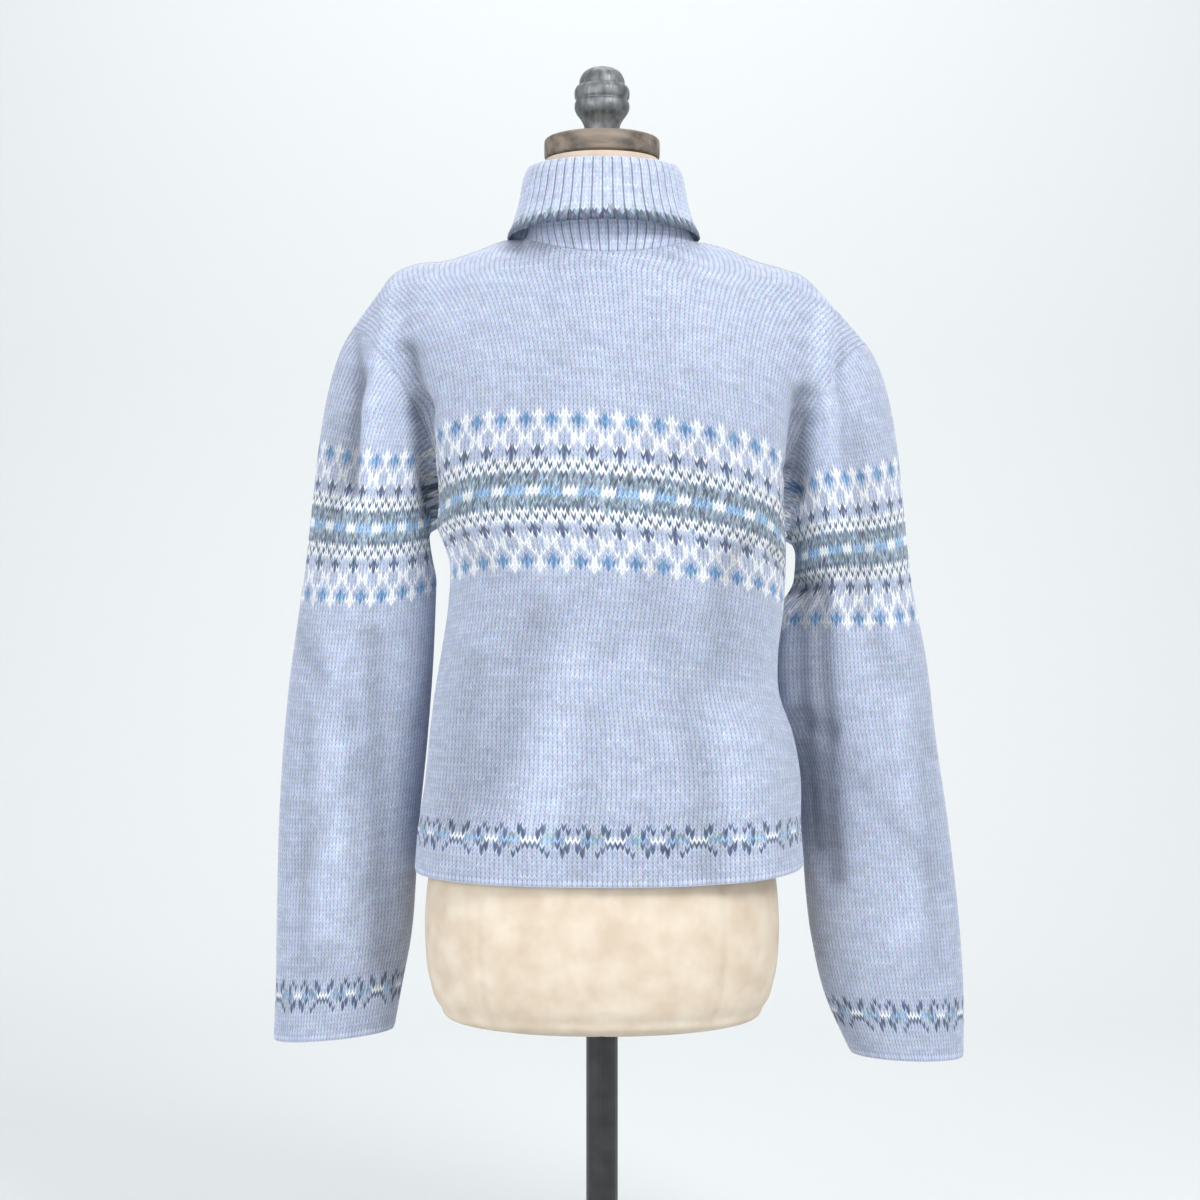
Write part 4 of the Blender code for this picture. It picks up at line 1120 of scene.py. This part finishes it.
def collar_lattice(columns):
    """The closed section of the folded collar as a lattice of half courses."""
    bearings = np.arange(columns) * 2 * HALF_TURN / columns
    rings = [on_loop(seam_loop(0), bearings)]
    for row, share in zip(COLLAR_SECTION, ARCH_SHARES):
        ring = collar_ring(row, bearings)
        ring[:, 2] += ARCH_RISE * share * np.abs(np.sin(bearings)) ** 1.5
        rings.append(ring)
    rings = np.array([*rings, on_loop(seam_loop(WALL), bearings)])
    knots = np.arange(len(rings))
    fine = np.arange(RING_STEPS * (len(rings) - 1) + 1)
    table = np.concatenate([knots[:, None], rings.reshape(len(rings), -1)], axis=1)
    smooth = read_off(table, fine / RING_STEPS).reshape(len(fine), columns, 3)
    run = lengths_along(smooth).mean(axis=1)
    v = np.arange(0, COLLAR_ROWS + SLANT + 1, 0.5)
    at = np.interp(np.minimum(v / COLLAR_ROWS, 1) * run[-1], run, fine)
    points = lookup(smooth, at[:, None], np.arange(float(columns)), closed=True)
    down = np.gradient(points, axis=0)
    across = np.roll(points, -1, axis=1) - np.roll(points, 1, axis=1)
    down[v >= COLLAR_ROWS] = down[np.argmax(v >= COLLAR_ROWS) - 1]
    normals = unit(np.cross(across, down))
    edge = run[FREE_EDGE_RING * RING_STEPS] / run[-1] * COLLAR_ROWS
    shown = [1.0, *(max(row[5], HIDDEN_RELIEF) for row in COLLAR_SECTION), HIDDEN_RELIEF]
    at_row = np.interp(np.arange(COLLAR_ROWS + 3) / COLLAR_ROWS * run[-1], run, fine)
    return points, normals, edge, np.interp(at_row / RING_STEPS, knots, shown)


def tipping_chart(free_edge):
    """The collar's yarns: dark courses round its free edge that thin out above it."""
    start, speckled, faint, end = TIPPING

    def chart(row, column):
        above = row - free_edge
        if start <= above < speckled:
            return "i"
        if speckled <= above < faint:
            return "i" if (column + row) % 3 else "g"
        if faint <= above < end:
            return "m" if (column + row) % 2 else "."
        return "."
    return chart


def joining_strip():
    """Triangles between the collar's first and last courses, which meet at the neck seam."""
    wale = np.arange(RIB_WALES)
    bound = (COLLAR_ROWS + 1) * RIB_WALES
    low, low_edge, low_next = wale, bound + wale, bound + (wale + 1) % RIB_WALES
    high, high_edge, high_next = (k + COLLAR_ROWS * RIB_WALES for k in (low, low_edge, low_next))
    return np.concatenate([np.stack(trio, axis=1) for trio in (
        (high, low, low_edge), (high, low_edge, high_edge),
        (high, high_next, low_next), (high, low_next, low))])


def build_collar():
    """The folded rib: three wales to a rib, the third one sunk into the groove and painted darker there as
    shade.
    """
    lattice, lattice_normals, free_edge, relief = collar_lattice(RIB_COUNT * LATTICE_A_RIB)
    edges = np.append(np.arange(RIB_COUNT)[:, None] + np.array(WALE_SHARES), RIB_COUNT) * LATTICE_A_RIB / 2
    up = np.tile([YARN_UP, YARN_UP, YARN_UP - GROOVE_DEPTH], RIB_COUNT)
    down = YARN_DOWN - np.append(np.tile(WALE_DROPS, RIB_COUNT), WALE_DROPS[0])
    legs = colours(COLLAR_ROWS, RIB_WALES, tipping_chart(free_edge), COLLAR_SEED)
    # Painted shade in the grooves.
    legs[:, 2::3] *= GROOVE_SHADE
    points, triangles, shades = stitches(
        lattice, lattice_normals, RIB_WALES, COLLAR_ROWS, legs, False, True, relief, COLLAR_SEED,
        (up, down), RIB_SINK, edges, sewn=False, gap_shades=RIB_GAP_SHADES, slant=RIB_SLANT)
    seam = joining_strip()
    triangles = np.concatenate([triangles, seam])
    shades = np.concatenate([shades, np.broadcast_to(LAVENDER * SEAM_SHADE, (len(seam), 3, 3))])
    return write_mesh("collar_knit", lift(points), triangles, shades, WOOL)


collar = build_collar()


# Form, cap and finial
FORM_COLUMNS = 4 * COLUMNS
FORM_LOW_ROWS, FORM_HIGH_ROWS = 72, 48
LOW_ROWS_CROWD = 1.8     # the cover's lowest rows lie closer together
FORM_SEAMS = (-0.45, 0.0, 0.45)      # where the cover's seams run, from -1 to 1 across a side
SEAM_SHARE = 0.012       # a seam's half width, on the same scale
SEAM_DEPTH = 0.0016
SEAM_PUCKER = 0.0006
PUCKER_STEP = 1.9        # how far the pucker's wave goes from one row to the next, in radians
NECK_RISE = 14           # rows of faces up the form's neck
COVER_CREASE, TURNED_CREASE = 40, 50     # degrees by which a piece turns where it is creased
CAP_SIDES, FINIAL_SIDES = 96, 120
PROFILE_STEPS = 6        # fine steps between two points of a turned profile
COVER_ROOM = 0.0010      # the cover lies this much further in than its solid, under the stitches


def form_rows(side):
    """The cover's rows on one side: its own section below the underarm, then up under the cloth."""
    s = np.linspace(-1, 1, FORM_COLUMNS + 1)
    low, high = TORSO[0][0], TORSO[-1][0]
    heights = low + (high - low) * np.linspace(0, 1, FORM_LOW_ROWS + 1) ** LOW_ROWS_CROWD
    rows = [torso_section(side, s, np.full_like(s, height)) for height in heights]
    for share in np.linspace(0, 1, FORM_HIGH_ROWS + 1)[1:]:
        room = WALL + SEAT_GAP + COVER_ROOM + UNDERARM_ROOM * (1 - ease(share / SEATED_FROM))
        cloth, normals = on_panel("back" if side < 0 else "front", s, np.full_like(s, 1 + share))
        seated = cloth - normals * room
        own = torso_section(side, s, seated[:, 2])
        rows.append(own + (seated - own) * ease(share / OWN_UP_TO))
    rows = np.array(rows)
    reach = np.linalg.norm(rows[..., :2], axis=-1)
    groove = sum(np.exp(-((s - seam) / SEAM_SHARE) ** 2) for seam in FORM_SEAMS)
    pucker = 1 + SEAM_PUCKER / SEAM_DEPTH * np.sin(np.arange(len(rows)) * PUCKER_STEP)[:, None]
    rows[..., :2] *= (1 - SEAM_DEPTH * groove * pucker / reach)[..., None]
    return rows


def form_faces(back, front):
    """Every face of the cover: skin, flat shoulder ends and their shelves, neck, and both ends."""
    step = FORM_COLUMNS // COLUMNS
    last, shelf, top = FORM_COLUMNS, FORM_LOW_ROWS, FORM_LOW_ROWS + FORM_HIGH_ROWS
    tip, far = TIP_COLUMN * step, last - TIP_COLUMN * step
    for side in (back, front):
        for row in range(top):
            first, end = (0, last) if row < shelf else (tip, far)
            for j in range(first, end):
                yield [side[row][j], side[row][j + 1], side[row + 1][j + 1], side[row + 1][j]]
    for edge, near in ((tip, range(tip + 1)), (far, range(far, last + 1))):
        yield [back[shelf][j] for j in near] + [front[shelf][j] for j in reversed(near)]
        for row in range(shelf, top):
            yield [back[row][edge], back[row + 1][edge], front[row + 1][edge], front[row][edge]]
    yield [*back[0], *front[0][-2:0:-1]]
    first, end = last // 2 - NECK_COLUMN * step, last // 2 + NECK_COLUMN * step
    start = np.array([*back[-1][first:end + 1], *front[-1][end - 1:first:-1]])
    bearings = np.arctan2(start[:, 1], start[:, 0])
    end_ring = np.stack([NECK_TOP_RADIUS * np.cos(bearings), NECK_TOP_RADIUS * np.sin(bearings),
                         np.full_like(bearings, NECK_TOP_HEIGHT)], axis=-1)
    ring = start
    for up in np.linspace(0, 1, NECK_RISE + 1)[1:]:
        inward = read_off(((0, 0), *NECK_CURVE), up)[0]
        after = start + (end_ring - start) * np.array([inward, inward, up])
        for i in range(len(ring)):
            j = (i + 1) % len(ring)
            yield [ring[i], ring[j], after[j], after[i]]
        ring = after
    yield list(ring)


def polygon_object(name, points, faces, finish, sharp_angle=None, outward=False):
    """A smooth object from points and polygons, creased where it turns by more than the angle."""
    mesh = bpy.data.meshes.new(name)
    mesh.from_pydata([tuple(point) for point in points], [], faces)
    if outward:
        shape = bmesh.new()
        shape.from_mesh(mesh)
        bmesh.ops.recalc_face_normals(shape, faces=shape.faces)
        shape.to_mesh(mesh)
        shape.free()
    mesh.shade_smooth()
    if sharp_angle is not None:
        mesh.set_sharp_from_angle(angle=math.radians(sharp_angle))
    mesh.materials.append(finish)
    return add_object(name, mesh)


def build_cover():
    """The form's linen cover, with the points that its faces have in common made one."""
    index, faces = {}, []
    for polygon in form_faces(form_rows(-1), form_rows(1)):
        numbers = (index.setdefault(point_key(point), len(index)) for point in polygon)
        face = list(dict.fromkeys(numbers))
        if len(face) > 2:
            faces.append(face)
    return polygon_object("form_cover_linen", lift(np.array(list(index))), faces, LINEN, COVER_CREASE,
                          outward=True)


def turned_piece(name, profile, bottom, sides, finish, ripple=np.ones_like):
    """A piece turned round the upright axis, whose radius may ripple with the bearing."""
    table = np.array([(k, *row) for k, row in enumerate(profile)])
    fine = np.linspace(0, len(profile) - 1, PROFILE_STEPS * (len(profile) - 1) + 1)
    radius, height = read_off(table, fine).T
    bearings = np.arange(sides) * 2 * HALF_TURN / sides
    reach = radius[:, None] * ripple(bearings)
    rings = np.stack([reach * np.cos(bearings), reach * np.sin(bearings),
                      np.broadcast_to((bottom + height)[:, None], reach.shape)], axis=-1)
    last = (len(rings) - 1) * sides
    faces = [*strips(len(rings), sides, True), [*reversed(range(sides))], [*range(last, last + sides)]]
    return polygon_object(name, rings.reshape(-1, 3), faces, finish, TURNED_CREASE)


CAST_RIDGES = (-2.1, -1.25, -0.6, 0.4, 1.9)      # bearings of the finial's upright ridges
RIDGE_WIDTH = 0.05
RIDGE_RISE = 0.018       # as a share of the radius


def cast_ridges(bearings):
    """How far the finial stands out at each bearing."""
    away = [np.angle(np.exp(1j * (bearings - at))) for at in CAST_RIDGES]
    return 1 + RIDGE_RISE * sum(np.exp(-(angle / RIDGE_WIDTH) ** 2) for angle in away)


cover = build_cover()
cap_bottom = CHEST_LINE + NECK_TOP_HEIGHT + TOUCH_GAP
cap = turned_piece("neck_cap_wood", NECK_CAP, cap_bottom, CAP_SIDES, WOOD)
finial_bottom = cap_bottom + NECK_CAP[-1][1] + TOUCH_GAP
finial = turned_piece("finial_cast", FINIAL, finial_bottom, FINIAL_SIDES, CAST, cast_ridges)

for node in ("stand_pole", "stand_base"):
    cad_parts[node].data.materials.clear()
    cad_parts[node].data.materials.append(PAINT)

for piece, node, slot in ((back, "back", "knit"), (front, "front", "knit"), (left, "sleeve_left", "knit"),
                          (right, "sleeve_right", "knit"), (collar, "collar", "rib_knit"),
                          (cover, "form_torso", "form_cover"),
                          (cap, "neck_cap", "turned_wood"), (finial, "finial", "cast_metal")):
    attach(piece, "root")
    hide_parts(node)


# Stage, light and camera
FLOOR_FROM, FLOOR_TO, CURVE = -3.5, 1.6, 1.2     # the floor's two ends and the radius of its curve
UPRIGHT_FROM, UPRIGHT_TO = 1.5, 5.0
BACKDROP_REACH = 5.0     # to either side
FLOOR_ROWS, CURVE_ROWS, UPRIGHT_ROWS, BACKDROP_COLUMNS = 12, 14, 6, 8


def build_backdrop():
    """A pale floor that curves up into a backdrop."""
    turn = np.linspace(0, HALF_TURN / 2, CURVE_ROWS)[1:]
    y = np.concatenate([np.linspace(FLOOR_FROM, FLOOR_TO, FLOOR_ROWS), FLOOR_TO + CURVE * np.sin(turn),
                        np.full(UPRIGHT_ROWS, FLOOR_TO + CURVE)])
    z = np.concatenate([np.zeros(FLOOR_ROWS), CURVE - CURVE * np.cos(turn),
                        np.linspace(UPRIGHT_FROM, UPRIGHT_TO, UPRIGHT_ROWS)])
    x = np.linspace(-BACKDROP_REACH, BACKDROP_REACH, BACKDROP_COLUMNS)
    points = [(px, py, pz) for py, pz in zip(y, z) for px in x]
    paper = new_material("backdrop_paper", {"Base Color": (0.74, 0.76, 0.755, 1), "Roughness": 0.95})[0]
    polygon_object("backdrop", points, [*strips(len(y), len(x), False)], paper)


build_backdrop()


def area_light(name, place, target, size, power, colour=(1, 1, 1)):
    """A round light that points from its place to its target."""
    data = bpy.data.lights.new(name, "AREA")
    data.shape = "DISK"
    data.size = size
    data.energy = power
    data.color = colour
    made = add_object(name, data)
    made.location = place
    made.rotation_euler = (Vector(target) - Vector(place)).to_track_quat("-Z", "Y").to_euler()


area_light("key", (1.3, -1.8, 2.3), (0, 0, 0.70), 1.0, 41)
area_light("fill", (-1.9, -2.1, 1.2), (0, 0, 0.70), 2.0, 32, (0.97, 0.98, 1.0))
area_light("back", (0.0, 1.0, 3.0), (0, 1.6, 0.9), 2.5, 30)

world = bpy.data.worlds.new("studio")
world.use_nodes = True
world.node_tree.nodes["Background"].inputs["Color"].default_value = (0.93, 0.95, 1.0, 1)
world.node_tree.nodes["Background"].inputs["Strength"].default_value = 0.70
bpy.context.scene.world = world
bpy.context.scene.view_settings.view_transform = "Standard"

PHOTO_WIDTH = 1200       # pixels
SCALE = 1130.0           # the photo's pixels for each metre at the form's middle
AXIS_OFFSET = -2         # the form's axis in the photo, in pixels from the middle
DISTANCE = 2.0
lens = bpy.data.cameras.new("camera")
lens.sensor_width = 36
lens.lens = lens.sensor_width * SCALE * DISTANCE / PHOTO_WIDTH
camera = add_object("camera", lens)
camera.location = (AXIS_OFFSET / SCALE, -DISTANCE, CHEST_LINE)
camera.rotation_euler = (HALF_TURN / 2, 0, 0)
bpy.context.scene.camera = camera
